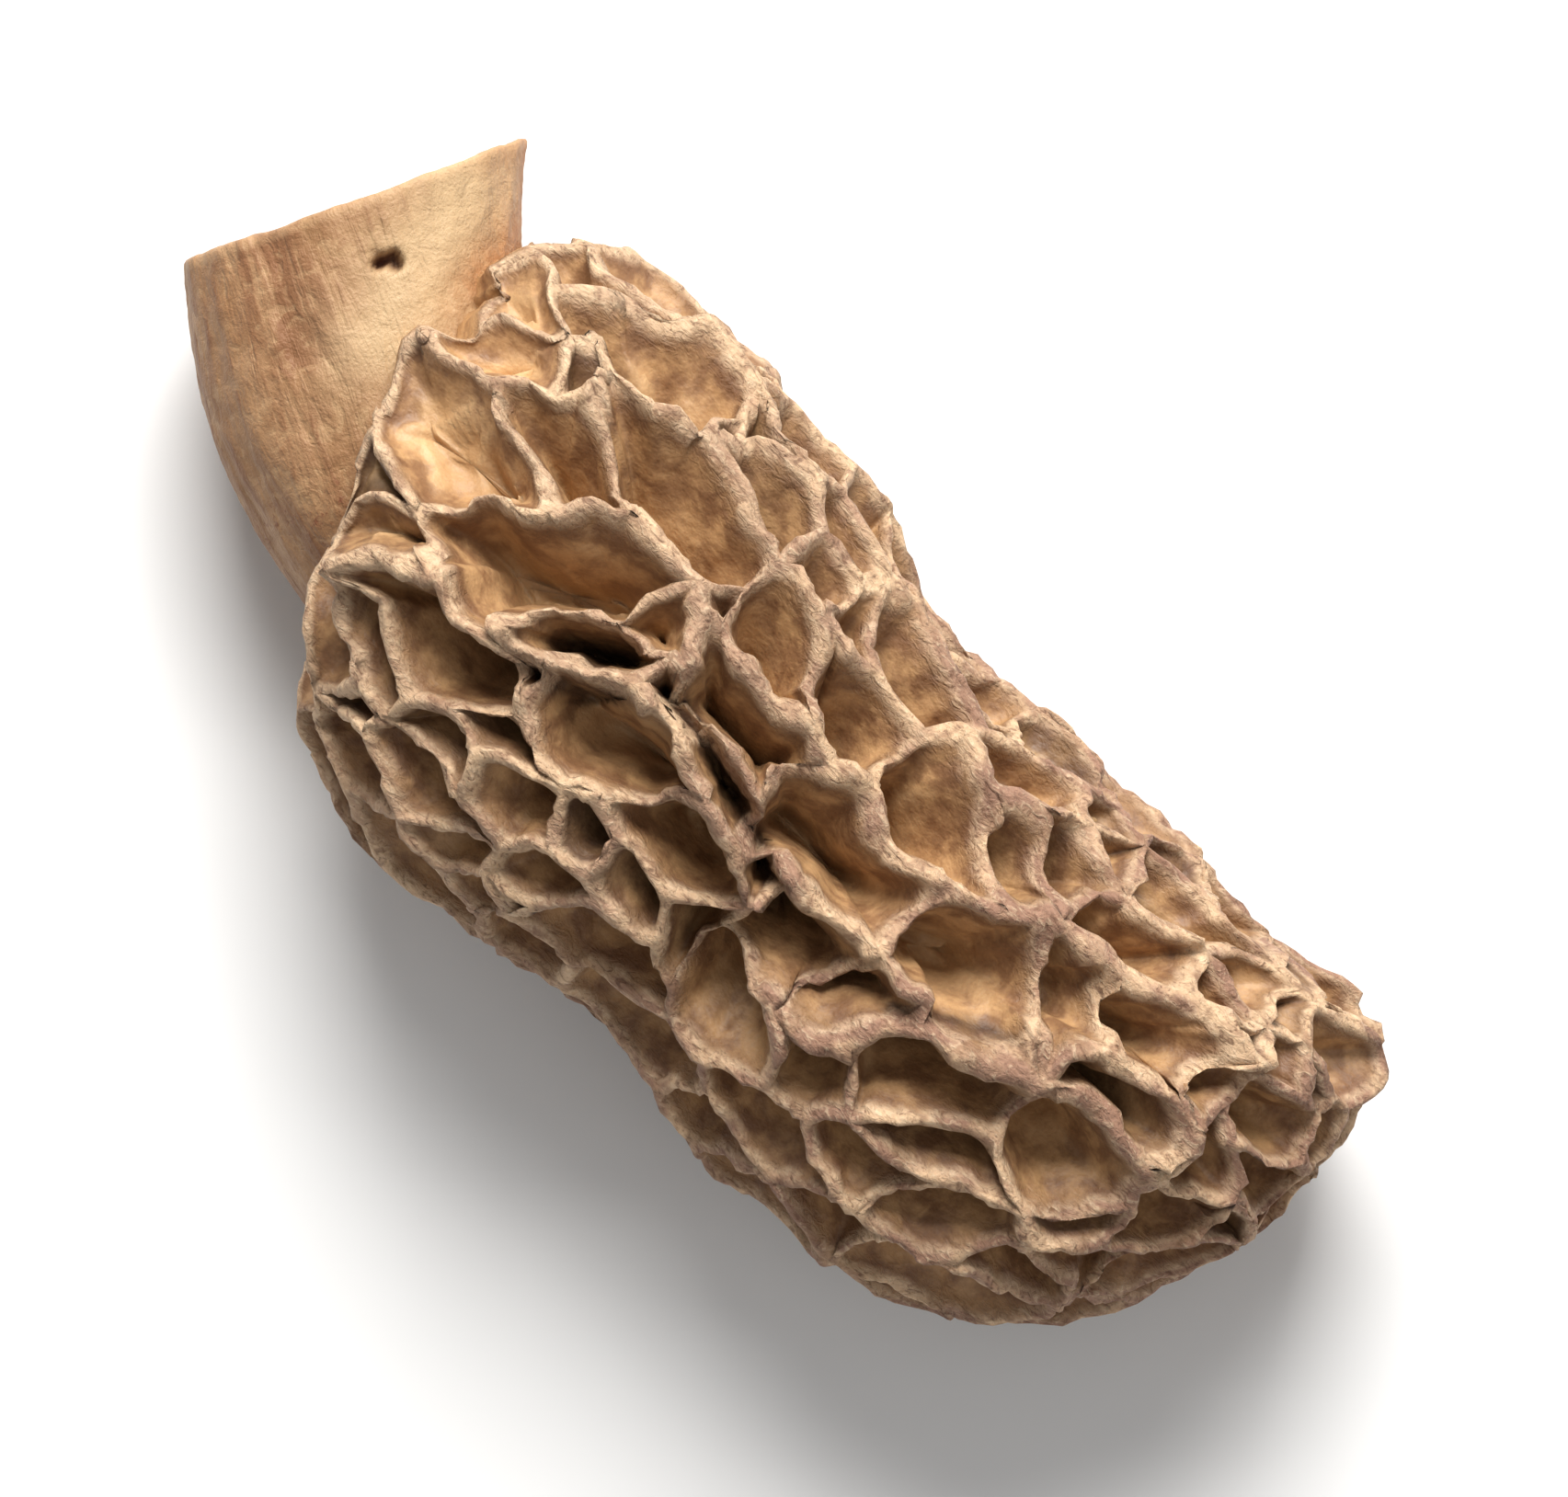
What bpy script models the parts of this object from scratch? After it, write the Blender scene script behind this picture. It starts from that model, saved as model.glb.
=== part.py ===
"""A dried morel mushroom lying on its side: a hollow cap covered by a net of raised ridges with
pits between them, grown in one piece with a hollow stem that is cut straight off.

Sizes are in millimetres until the mesh is finished, when MM turns them into metres. The cap's
length runs along +X from the stem to the tip, and the mushroom lies on the plane z = 0.
"""

import math
from collections import Counter

import bmesh
import bpy
import numpy as np
from mathutils import Vector, noise

MM = 0.001

# The cap's form. A station is (mm along the cap from the stem, mm).
CAP_LENGTH = 57.0
HALF_WIDTH = ((0, 0), (3.4, 9.8), (5.4, 11.6), (9, 13.0), (14, 13.5), (19.5, 13.3), (26, 11.8),
              (36, 12.4), (46, 11.6), (51.4, 10.0), (55, 6.8), (57, 0))
HALF_HEIGHT = ((0, 0), (3.4, 8.4), (6, 10.0), (12, 11.3), (20, 11.4), (30, 10.4), (42, 10.2),
               (51, 8.7), (55, 5.6), (57, 0))
MIDDLE_SIDE = ((0, 0.4), (9, 0.5), (16, 0.0), (32, -0.4), (40, -0.3), (46, 0.5), (50, 1.7), (57, 5.2))
MIDDLE_UP = ((0, 8.8), (6, 9.6), (12, 10.6), (20, 10.6), (30, 9.6), (42, 9.4), (51, 8.5), (57, 7.8))
LEAN_SIDE, LEAN_UP, LEAN_END = 0.28, 0.34, 14.0  # how far the base leans, and where that ends
LUMP, LUMP_LENGTH = 0.5, 9.0  # height and length of the body's uneven lumps
CELL_STRETCH = 0.45  # how much longer the net's cells are where the cap's sides run along it

# The hollow inside the cap, as a smaller copy of the cap's form
HOLLOW_START, HOLLOW_LENGTH, HOLLOW_SIZE = 4.0, 47.3, 0.66
HOLLOW_FIRST, HOLLOW_LAST = 0.75, 2.85  # polar angles of its first and last ring

# The stem, from its cut mouth towards the cap
MOUTH = (-6.75, 6.55, 8.0)
STEM_WAY = (0.905, -0.425)
MOUTH_HALF, NECK_HALF = (8.4, 6.8), (7.3, 6.3)  # half width and half height
NECK_MIDDLE = 12.0  # from the mouth to where the stem has its neck size
NECK_LIFT = 0.8  # how far the neck's middle lies above the mouth's
BOW, BOW_LENGTH = -2.2, 20.0  # how far the stem bows aside, and from the mouth to where that ends
NECK_OUTSET, BORE_INSET = 1.0, 1.5  # how far outside the cap's rim the stem begins, and inside it the bore
STEM_WALL = 1.3
MOUTH_DIP = 0.25  # the cut edge is hollowed a little at its top and bottom

# The ridges and pits
CREST_DROP = 0.18  # from a ridge's top to its edge
LONG_RISE, CROSS_RISE = 0.5, -0.65  # ridges along the cap stand higher than those across it
CROSS_RUN, LONG_RUN = 0.2, 0.7  # how squarely a ridge runs along the cap to count as either
FLOOR_RISE = 0.3  # share of a ridge's rise that the pit floor beside it follows
FLOOR_LEAST = 1.15  # the least wall left under a pit
RIM_DEPTH = 0.4  # share of its depth that a pit beside the stem keeps
WAVE, WAVE_LENGTH = 0.035, 3.2  # sideways waves of the ridges, in radians and mm
WAVE_PLACES = ((9.3, -1.5, -7.9), (0, 0, 0), (6.3, 0.2, -2.7))  # where each direction's waves are read
# The rings of a pit from the ridge top to its floor: mm from the ridge's middle line, the most
# that this may be as a share of the way to the pit's middle, the share of the pit's depth, and
# how often the ring is smoothed
CREST_RING, WALL_RING, FLOOR_RING = (0.5, 0.3, 0.0, 0), (0.85, 0.52, 0.7, 1), (1.7, 0.82, 1.0, 2)
LEAST_REACH = 0.3

# The pits seen on the photograph, in its pixels. Each is a line along the pit's middle.
MM_PER_PIXEL = 0.11
CAP_START_PIXEL, CAP_AXIS_PIXEL = 1008.2, 516.0  # along and across the diagonal that the cap lies on
LINE_STEP_PIXELS = 10
WIDE_PITS = (
    ((1112, 368), (1140, 376)), ((1200, 374), (1212, 390), (1222, 408)),
    ((1132, 415), (1155, 420), (1182, 426)), ((1250, 450), (1255, 463)), ((1278, 472), (1286, 490)),
    ((1306, 504), (1312, 530)), ((1260, 520), (1283, 545)), ((1322, 582), (1340, 582)),
    ((1300, 622), (1320, 630), (1340, 638)), ((1367, 646), (1365, 662)), ((1452, 642), (1461, 650)),
    ((1172, 480), (1198, 498)), ((1204, 522), (1213, 529)), ((1200, 338), (1218, 350)),
    ((1112, 436), (1122, 456)),
)
PITS = (
    ((1124, 328), (1150, 329)), ((1170, 342), (1184, 350)), ((1092, 348), (1118, 348)),
    ((1162, 364), (1170, 388)), ((1230, 437),), ((1093, 401), (1108, 408)), ((1203, 440),),
    ((1226, 468), (1240, 484), (1252, 497)), ((1150, 308),), ((1178, 308),),
    ((1212, 316), (1230, 328)), ((1228, 366),), ((1244, 369),), ((1243, 390), (1253, 405)),
    ((1262, 372),), ((1268, 403),), ((1266, 427),), ((1278, 445),), ((1293, 456), (1310, 476)),
    ((1331, 466),), ((1075, 487), (1085, 502)), ((1104, 498), (1110, 512)),
    ((1094, 520), (1100, 537)), ((1120, 531),), ((1132, 480), (1152, 494)), ((1150, 512),),
    ((1196, 540), (1200, 556)), ((1209, 556), (1213, 568)), ((1224, 578), (1232, 594)),
    ((1172, 566), (1188, 570)), ((1130, 547),), ((1256, 562), (1271, 573)),
    ((1277, 586), (1290, 590)), ((1302, 560), (1308, 573)), ((1366, 583), (1366, 600)),
    ((1385, 602), (1410, 611)), ((1424, 622),), ((1337, 500), (1355, 510)),
    ((1362, 525), (1371, 540)), ((1388, 568), (1402, 578)), ((1380, 519),), ((1388, 534),),
    ((1402, 548), (1425, 563)), ((1307, 650), (1325, 656), (1340, 664)), ((1424, 647), (1426, 667)),
    ((1315, 680), (1338, 688)), ((1282, 692),), ((1305, 707), (1318, 718)), ((1352, 705),),
    ((1370, 702), (1388, 707)), ((1385, 683),), ((1408, 678), (1410, 695)), ((1420, 707),),
    ((1446, 588),), ((1460, 597),), ((1456, 626),), ((1480, 618),), ((1454, 665), (1459, 673)),
    ((1477, 651),), ((1478, 592),),
)
NARROW_PITS = (
    ((1093, 331), (1106, 327)), ((1083, 366), (1098, 382)), ((1163, 449), (1186, 452)),
    ((1070, 428), (1070, 450)), ((1084, 430), (1084, 453)), ((1097, 430), (1103, 455)),
    ((1082, 463), (1096, 478)), ((1112, 484), (1123, 489)), ((1150, 461), (1164, 469)),
    ((1206, 467), (1214, 477)), ((1224, 490), (1231, 508), (1240, 535)), ((1289, 402), (1292, 412)),
    ((1300, 422), (1315, 440)), ((1180, 504), (1188, 514)), ((1175, 514), (1185, 529)),
    ((1160, 541), (1174, 545)), ((1137, 556), (1145, 562)), ((1156, 553), (1162, 562)),
    ((1338, 530), (1350, 545)), ((1329, 491),), ((1343, 484),), ((1362, 497), (1385, 508)),
    ((1397, 512), (1403, 525)), ((1409, 531), (1425, 548)), ((1385, 543), (1398, 545)),
    ((1431, 553), (1438, 562)), ((1371, 554),), ((1268, 621), (1283, 622)),
    ((1258, 596), (1270, 598)), ((1376, 623), (1390, 630), (1395, 646)), ((1293, 661), (1308, 669)),
    ((1407, 652),), ((1425, 685), (1438, 692)), ((1424, 595),), ((1434, 592),),
    ((1427, 606), (1438, 615)), ((1449, 611),), ((1468, 608),), ((1471, 624), (1474, 635)),
    ((1442, 680), (1452, 684)), ((1467, 586), (1472, 597)),
)
# For each kind: how far its ridges are pushed outwards in mm, and how deep its floor lies
KINDS = ((WIDE_PITS, 0.55, 3.4), (PITS, 0.2, 3.0), (NARROW_PITS, 0.0, 2.9))

# The pits of the sides and the underside, which the photograph hides, follow a rule
HIDDEN_SPACING = 4.2
HIDDEN_STRETCH = 1.25  # pits are longer along the cap than across it
HIDDEN_PUSH, HIDDEN_DEPTH = 0.2, 3.1
HIDDEN_PAIRS, PAIR_STEP = 0.3, 0.16  # share of pits drawn out along the cap, and by how much
STEM_END = 0.93  # directions nearer to the stem's than this have no pits
STEM_WEIGHT = 0.085  # how far the cap's rim stands off the middle of the stem's end
DRAWS = 4000
SEED = 7

# How finely the mesh is split
STEPS_ALONG_FORM = 600
GRID_ALONG, GRID_ROUND = 170, 150
SHORT_EDGE, LONG_EDGE = 1.1, 3.4
STEM_RINGS, BORE_RINGS, HOLLOW_RINGS = 5, 4, 9

FLESH_COLOUR, FLESH_ROUGHNESS = (0.36, 0.23, 0.13, 1.0), 0.72


def smooth(stations, along):
    """A smooth curve through the stations, read at each of the given turns along the cap."""
    places, values = np.array(stations, float).T
    turns = np.arccos(1 - 2 * places / CAP_LENGTH)
    slopes = np.gradient(values, turns)
    i = np.clip(np.searchsorted(turns, along) - 1, 0, len(turns) - 2)
    step = turns[i + 1] - turns[i]
    t = (along - turns[i]) / step
    bends = slopes[i] * t * (1 - t) ** 2 - slopes[i + 1] * t**2 * (1 - t)
    return values[i] * (1 + 2 * t) * (1 - t) ** 2 + values[i + 1] * t**2 * (3 - 2 * t) + step * bends


def even_turns():
    """Pairs of turn along the cap and polar angle, so that a pit keeps its shape on the sphere."""
    turns = np.linspace(0.004, math.pi - 0.004, STEPS_ALONG_FORM)
    along = CAP_LENGTH * (1 - np.cos(turns)) / 2
    radius = (smooth(HALF_WIDTH, turns) + smooth(HALF_HEIGHT, turns)) / 2
    steps = np.hypot(np.diff(along), np.diff(radius))
    stretch = 1 + CELL_STRETCH * (np.diff(along) / steps) ** 2
    way = np.concatenate([[0], np.cumsum(steps / stretch * 2 / (radius[1:] + radius[:-1]))])
    return turns, 2 * np.arctan(np.exp(way - way[-1] / 2))


TURNS, POLARS = even_turns()


def form(ways, drop=0.0):
    """Points of the cap for directions from its middle, sunk by drop mm from its outer skin."""
    ways = np.atleast_2d(ways)
    ways = ways / np.linalg.norm(ways, axis=1, keepdims=True)
    polar = np.arccos(np.clip(-ways[:, 0], -1, 1))
    round_it = np.arctan2(ways[:, 2], ways[:, 1])
    turn = np.interp(polar, POLARS, TURNS)
    rise = (1 - np.cos(turn)) / 2
    side = smooth(HALF_WIDTH, turn) * np.cos(round_it)
    up = smooth(HALF_HEIGHT, turn) * np.sin(round_it)
    middle = np.stack([rise * CAP_LENGTH, smooth(MIDDLE_SIDE, turn), smooth(MIDDLE_UP, turn)], 1)
    lean = np.clip(1 - rise * CAP_LENGTH / LEAN_END, 0, 1)
    lean = lean * lean * (3 - 2 * lean)
    outer = middle + np.stack([-lean * (LEAN_SIDE * side + LEAN_UP * up), side, up], 1)
    inner = middle + (outer - middle) * HOLLOW_SIZE
    inner[:, 0] += HOLLOW_START + rise * HOLLOW_LENGTH - middle[:, 0]
    depth = np.linalg.norm(outer - inner, axis=1)
    lumps = [LUMP * noise.noise(Vector(point) / LUMP_LENGTH) for point in outer]
    part = (np.minimum(drop, depth - FLOOR_LEAST) + lumps) / depth
    return outer + (inner - outer) * part[:, None]


def hollow(polar, round_it):
    """A point of the inner skin, lumps left out."""
    way = np.array([[-math.cos(polar), math.sin(polar) * math.cos(round_it),
                     math.sin(polar) * math.sin(round_it)]])
    turn = np.interp(polar, POLARS, TURNS)
    rise = (1 - math.cos(turn)) / 2
    outer, deep = form(way)[0], form(way, 1.0)[0]
    depth_way = (deep - outer) / np.linalg.norm(deep - outer)
    middle_x = HOLLOW_START + rise * HOLLOW_LENGTH
    reach = (middle_x - rise * CAP_LENGTH) / depth_way[0] if abs(depth_way[0]) > 1e-6 else 0
    return outer + depth_way * reach


def seen_on_cap(pixel, skin_ways, skin_points):
    """The direction of the cap's upper skin point that the photograph shows at this pixel."""
    along = ((pixel[0] + pixel[1]) / math.sqrt(2) - CAP_START_PIXEL) * MM_PER_PIXEL
    across = ((pixel[0] - pixel[1]) / math.sqrt(2) - CAP_AXIS_PIXEL) * MM_PER_PIXEL
    gap = np.hypot(skin_points[:, 0] - along, skin_points[:, 1] - across)
    return skin_ways[np.argmin(gap)]


def close_pixels(line):
    """The line with points added, so that its cells join into one pit."""
    close = [line[0]]
    for start, end in zip(line, line[1:]):
        parts = math.ceil(math.dist(start, end) / LINE_STEP_PIXELS)
        close += [(start[0] + (end[0] - start[0]) * i / parts, start[1] + (end[1] - start[1]) * i / parts)
                  for i in range(1, parts + 1)]
    return close


def skin_grid():
    """A fine grid of directions over the upper half of the cap, and their points."""
    polar, round_it = np.meshgrid(np.linspace(0.25, 3.0, GRID_ALONG),
                                  np.linspace(0.12, math.pi - 0.12, GRID_ROUND))
    ways = np.stack([-np.cos(polar), np.sin(polar) * np.cos(round_it),
                     np.sin(polar) * np.sin(round_it)], -1).reshape(-1, 3)
    return ways, form(ways)


def pit_lines():
    """Every pit: the directions along its middle, how far it pushes its ridges, and its depth."""
    ways, points = skin_grid()
    lines = [([seen_on_cap(pixel, ways, points) for pixel in close_pixels(line)], push, depth)
             for pits, push, depth in KINDS for line in pits]
    taken = np.array([way for line in lines for way in line[0]] + [(-1, 0, 0)])
    draw = np.random.default_rng(SEED)
    tries = draw.normal(size=(DRAWS, 3))
    tries /= np.linalg.norm(tries, axis=1, keepdims=True)
    stretch = np.array([1 / HIDDEN_STRETCH, 1, 1])
    places, held = form(tries) * stretch, form(taken) * stretch
    gaps = np.min(np.linalg.norm(places[:, None] - held[None], axis=2), axis=1)
    gaps[-tries[:, 0] > STEM_END] = 0
    hidden = []
    while gaps.max() > HIDDEN_SPACING:
        best = int(np.argmax(gaps))
        hidden.append([tries[best]])
        gaps = np.minimum(gaps, np.linalg.norm(places - places[best], axis=1))
    for line in hidden:
        if draw.random() < HIDDEN_PAIRS:
            partner = line[0] + np.array([PAIR_STEP, 0, 0])
            line.append(partner / np.linalg.norm(partner))
    return lines + [(line, HIDDEN_PUSH, HIDDEN_DEPTH) for line in hidden]


def hull_faces(points):
    """The triangles of the points' convex hull, always in the same order."""
    bm = bmesh.new()
    number_of = bm.verts.layers.int.new("number")
    for number, point in enumerate(points):
        bm.verts.new(point)[number_of] = number
    bmesh.ops.convex_hull(bm, input=bm.verts[:])
    rings = [[vert[number_of] for vert in face.verts] for face in bm.faces]
    bm.free()
    return sorted(ring[ring.index(min(ring)):] + ring[:ring.index(min(ring))] for ring in rings)


def ridge_net(lines):
    """A mesh of one face for each pit, whose edges are the ridges' middle lines."""
    bm = bmesh.new()
    pit_of_vert = bm.verts.layers.int.new("pit")
    way_of = bm.verts.layers.float_vector.new("way")
    bm.verts.layers.int.new("root")
    bm.verts.layers.float.new("rise")
    pit_of_face = bm.faces.layers.int.new("pit")
    bm.faces.layers.int.new("cell")
    for number, (line, push, _) in enumerate(lines):
        for way in line:
            aside = np.cross(way, (1, 0, 0))
            near = np.array(way) + 0.02 * aside / np.linalg.norm(aside)
            scale = np.linalg.norm(form(near) - form(way)) / 0.02
            vert = bm.verts.new(np.array(way) * (1 + 4 * push / scale**2))
            vert[pit_of_vert] = number
    stem_end = bm.verts.new((-1 - STEM_WEIGHT, 0, 0))
    stem_end[pit_of_vert] = len(lines)
    seeds = bm.verts[:]
    for ring in hull_faces([seed.co for seed in seeds]):
        bm.faces.new([seeds[number] for number in ring])
    for seed in seeds:
        if not seed.link_faces:
            bm.verts.remove(seed)
    seeds = bm.verts[:]
    crossings = bm.edges[:]
    corners = bmesh.ops.poke(bm, faces=bm.faces[:])["verts"]
    for corner in corners:
        a, b, c = (edge.other_vert(corner).co for edge in corner.link_edges)
        normal = (b - a).cross(c - a).normalized()
        corner.co = normal if normal.dot(a) > 0 else -normal
    for edge in crossings:  # one at a time, because together the narrow ones are skipped
        bmesh.ops.rotate_edges(bm, edges=[edge], use_ccw=True)
    for seed in seeds:
        for face in seed.link_faces:
            face[pit_of_face] = seed[pit_of_vert]
    bmesh.ops.dissolve_verts(bm, verts=seeds)
    for number in range(len(lines)):
        cells = [face for face in bm.faces if face[pit_of_face] == number]
        if len(cells) > 1:
            bmesh.ops.dissolve_faces(bm, faces=cells)
    for vert in bm.verts:
        vert[way_of] = vert.co.normalized()
    place(bm.verts, way_of)
    bmesh.ops.remove_doubles(bm, verts=bm.verts[:], dist=SHORT_EDGE)
    bmesh.ops.bisect_edges(bm, edges=[e for e in bm.edges if e.calc_length() > LONG_EDGE], cuts=1)
    bmesh.ops.bisect_edges(bm, edges=[e for e in bm.edges if e.calc_length() > LONG_EDGE], cuts=1)
    return bm


def place(verts, way_of, drops=0.0):
    """Puts the vertices on the cap's form, by their directions."""
    verts = list(verts)
    points = form(np.array([vert[way_of] for vert in verts]), drops)
    points[:, 2] = np.maximum(points[:, 2], 0)
    for vert, point in zip(verts, points):
        vert.co = point


def wave_ridges(bm):
    """Bends the ridges sideways, and gives each corner its height by how the ridges run."""
    way_of, root = bm.verts.layers.float_vector["way"], bm.verts.layers.int["root"]
    rise = bm.verts.layers.float["rise"]
    for vert in bm.verts:
        sway = [noise.noise(vert.co / WAVE_LENGTH + Vector(place_of)) for place_of in WAVE_PLACES]
        vert[way_of] = (vert[way_of] + Vector(sway) * WAVE).normalized()
    place(bm.verts, way_of)
    bm.verts.index_update()
    for vert in bm.verts:
        runs = [abs((edge.other_vert(vert).co - vert.co).normalized().x) for edge in vert.link_edges]
        share = (sum(runs) / len(runs) - CROSS_RUN) / (LONG_RUN - CROSS_RUN)
        share = min(1.0, max(0.0, share))
        vert[rise] = CROSS_RISE + (LONG_RISE - CROSS_RISE) * share
        vert[root] = vert.index
    place(bm.verts, way_of, np.array([-vert[rise] for vert in bm.verts]))


def nearest_on_line(way, line):
    """The point of a pit's middle line that lies nearest to this direction."""
    best = line[0]
    for start, end in zip(line, line[1:]):
        run = end - start
        share = min(1.0, max(0.0, (way - start).dot(run) / run.length_squared))
        point = start + run * share
        if (point - way).length < (best - way).length:
            best = point
    return best.normalized()


def pull_in(bm, depths, faces, roots, targets, ring_sizes):
    """Extrudes each pit's face and draws its corners towards the pit's middle line."""
    across, most, depth_share, passes = ring_sizes
    way_of, root = bm.verts.layers.float_vector["way"], bm.verts.layers.int["root"]
    rise, cell = bm.verts.layers.float["rise"], bm.faces.layers.int["cell"]
    grown = bmesh.ops.extrude_discrete_faces(bm, faces=faces)["faces"]
    verts, drops = [], []
    for face in grown:
        ring = []
        for vert in face.verts:
            target, reach = targets[face[cell], vert[root]]
            share = min(most, across / max(reach, LEAST_REACH))
            ring.append(roots[vert[root]].lerp(target, share))
        for _ in range(passes):
            ring = [ring[i] * 0.6 + (ring[i - 1] + ring[(i + 1) % len(ring)]) * 0.2
                    for i in range(len(ring))]
        drop = CREST_DROP + (depths[face[cell]] - CREST_DROP) * depth_share
        for vert, way in zip(face.verts, ring):
            vert[way_of] = way.normalized()
            verts.append(vert)
            drops.append(drop - vert[rise] * (1 - (1 - FLOOR_RISE) * depth_share))
    place(verts, way_of, np.array(drops))
    return grown


def sink_pits(bm, lines):
    """Rings of faces from the ridge tops down to the pits' floors."""
    way_of, root = bm.verts.layers.float_vector["way"], bm.verts.layers.int["root"]
    pit, cell = bm.faces.layers.int["pit"], bm.faces.layers.int["cell"]
    faces = [face for face in bm.faces if face[pit] < len(lines)]
    parts = Counter(face[pit] for face in faces)
    roots = {vert[root]: vert[way_of].copy() for vert in bm.verts}
    targets, depths = {}, []
    for number, face in enumerate(faces):
        face[cell] = number
        at_stem = any(near[pit] == len(lines) for vert in face.verts for near in vert.link_faces)
        depths.append(lines[face[pit]][2] * (RIM_DEPTH if at_stem else 1))
        line = [Vector(way) for way in lines[face[pit]][0]]
        if parts[face[pit]] > 1:  # each part of a pit that the net cuts apart has its own middle
            line = [sum((vert[way_of] for vert in face.verts), Vector()).normalized()]
        aims = [nearest_on_line(vert[way_of], line) for vert in face.verts]
        points = form(np.array(aims))
        corners = [vert.co.copy() for vert in face.verts]
        for i, vert in enumerate(face.verts):
            run = (corners[(i + 1) % len(corners)] - corners[i - 1]).normalized()
            gap = Vector(points[i]) - corners[i]
            targets[number, vert[root]] = aims[i], (gap - run * gap.dot(run)).length
    faces = pull_in(bm, depths, faces, roots, targets, CREST_RING)
    faces = pull_in(bm, depths, faces, roots, targets, WALL_RING)
    open_pits = [face for face in faces if lines[face[pit]][1] > 0]
    pull_in(bm, depths, open_pits, roots, targets, FLOOR_RING)


def stem_bow(along):
    """How far the stem's middle lies aside at this distance from the mouth."""
    return BOW * math.sin(math.pi * min(1.0, max(0.0, along / BOW_LENGTH)))


def stem_point(along, round_it, inwards=0.0):
    """A point of the stem, by its distance from the mouth and its place round the stem."""
    share = min(1.0, max(0.0, along / NECK_MIDDLE))
    half_width = MOUTH_HALF[0] + (NECK_HALF[0] - MOUTH_HALF[0]) * share - inwards
    half_height = MOUTH_HALF[1] + (NECK_HALF[1] - MOUTH_HALF[1]) * share - inwards
    side = stem_bow(along) + half_width * math.cos(round_it)
    return Vector((MOUTH[0] + STEM_WAY[0] * along - STEM_WAY[1] * side,
                   MOUTH[1] + STEM_WAY[1] * along + STEM_WAY[0] * side,
                   MOUTH[2] + NECK_LIFT * share + half_height * math.sin(round_it)))


def grow_stem(bm, pits):
    """Draws the net's opening at the cap's base out into the stem, and back in as the hollow."""
    pit = bm.faces.layers.int["pit"]
    way_of = bm.verts.layers.float_vector["way"]
    end = next(face for face in bm.faces if face[pit] == pits)
    spots = []
    for vert in end.verts:
        along = (vert.co.x - MOUTH[0]) * STEM_WAY[0] + (vert.co.y - MOUTH[1]) * STEM_WAY[1]
        side = (vert.co.x - MOUTH[0]) * -STEM_WAY[1] + (vert.co.y - MOUTH[1]) * STEM_WAY[0] - stem_bow(along)
        round_it = math.atan2((vert.co.z - MOUTH[2] - NECK_LIFT) / NECK_HALF[1], side / NECK_HALF[0])
        spots.append((along, round_it, math.atan2(vert[way_of].z, vert[way_of].y)))

    def ring(points):
        nonlocal end
        end = bmesh.ops.extrude_discrete_faces(bm, faces=[end])["faces"][0]
        for vert, point in zip(end.verts, points):
            vert.co = point

    def mouth_along(round_it):
        return MOUTH_DIP * math.sin(round_it) ** 2

    ring([stem_point(along - NECK_OUTSET, round_it) for along, round_it, _ in spots])
    for step in range(1, STEM_RINGS + 1):
        share = step / STEM_RINGS
        ring([stem_point((along - NECK_OUTSET) * (1 - share) + mouth_along(round_it) * share, round_it)
              for along, round_it, _ in spots])
    for step in range(BORE_RINGS + 1):
        share = step / BORE_RINGS
        ring([stem_point((along + BORE_INSET) * share + mouth_along(round_it) * (1 - share), round_it,
                         STEM_WALL)
              for along, round_it, _ in spots])
    for polar in np.linspace(HOLLOW_FIRST, HOLLOW_LAST, HOLLOW_RINGS):
        ring([Vector(hollow(polar, cap_round)) for _, _, cap_round in spots])
    bmesh.ops.poke(bm, faces=[end])


def flesh_material():
    """Dried flesh: a warm brown that is nearly dull."""
    material = bpy.data.materials.new("dried_flesh")
    material.use_nodes = True
    shader = material.node_tree.nodes["Principled BSDF"]
    shader.inputs["Base Color"].default_value = FLESH_COLOUR
    shader.inputs["Roughness"].default_value = FLESH_ROUGHNESS
    shader.inputs["Metallic"].default_value = 0.0
    material.diffuse_color = FLESH_COLOUR
    return material


def build_morel():
    lines = pit_lines()
    bm = ridge_net(lines)
    wave_ridges(bm)
    sink_pits(bm, lines)
    grow_stem(bm, len(lines))
    bmesh.ops.triangulate(bm, faces=bm.faces[:], quad_method="SHORT_EDGE")
    low = Vector([min(vert.co[i] for vert in bm.verts) for i in range(3)])
    high = Vector([max(vert.co[i] for vert in bm.verts) for i in range(3)])
    bmesh.ops.translate(bm, verts=bm.verts, vec=(-(low.x + high.x) / 2, -(low.y + high.y) / 2, -low.z))
    bmesh.ops.scale(bm, verts=bm.verts, vec=(MM, MM, MM))
    mesh = bpy.data.meshes.new("morel")
    bm.to_mesh(mesh)
    bm.free()
    mesh.shade_smooth()
    mesh.set_sharp_from_angle(angle=math.radians(50))
    mesh.materials.append(flesh_material())
    return bpy.data.objects.new("morel", mesh)


for old in list(bpy.data.objects):
    bpy.data.objects.remove(old)
collection = bpy.data.collections.new("dried_morel_mushroom")
bpy.context.scene.collection.children.link(collection)
collection.objects.link(build_morel())
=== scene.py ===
"""A dried morel mushroom lying on its side on a plain pale floor, seen from straight above.

Sizes are in millimetres until a mesh is finished, when MM turns them into metres. +X runs along
the cap from the stem to the tip, and the mushroom lies on the plane z = 0.
"""

import math
from collections import Counter

import bmesh
import bpy
import numpy as np
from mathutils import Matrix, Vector, noise


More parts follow.
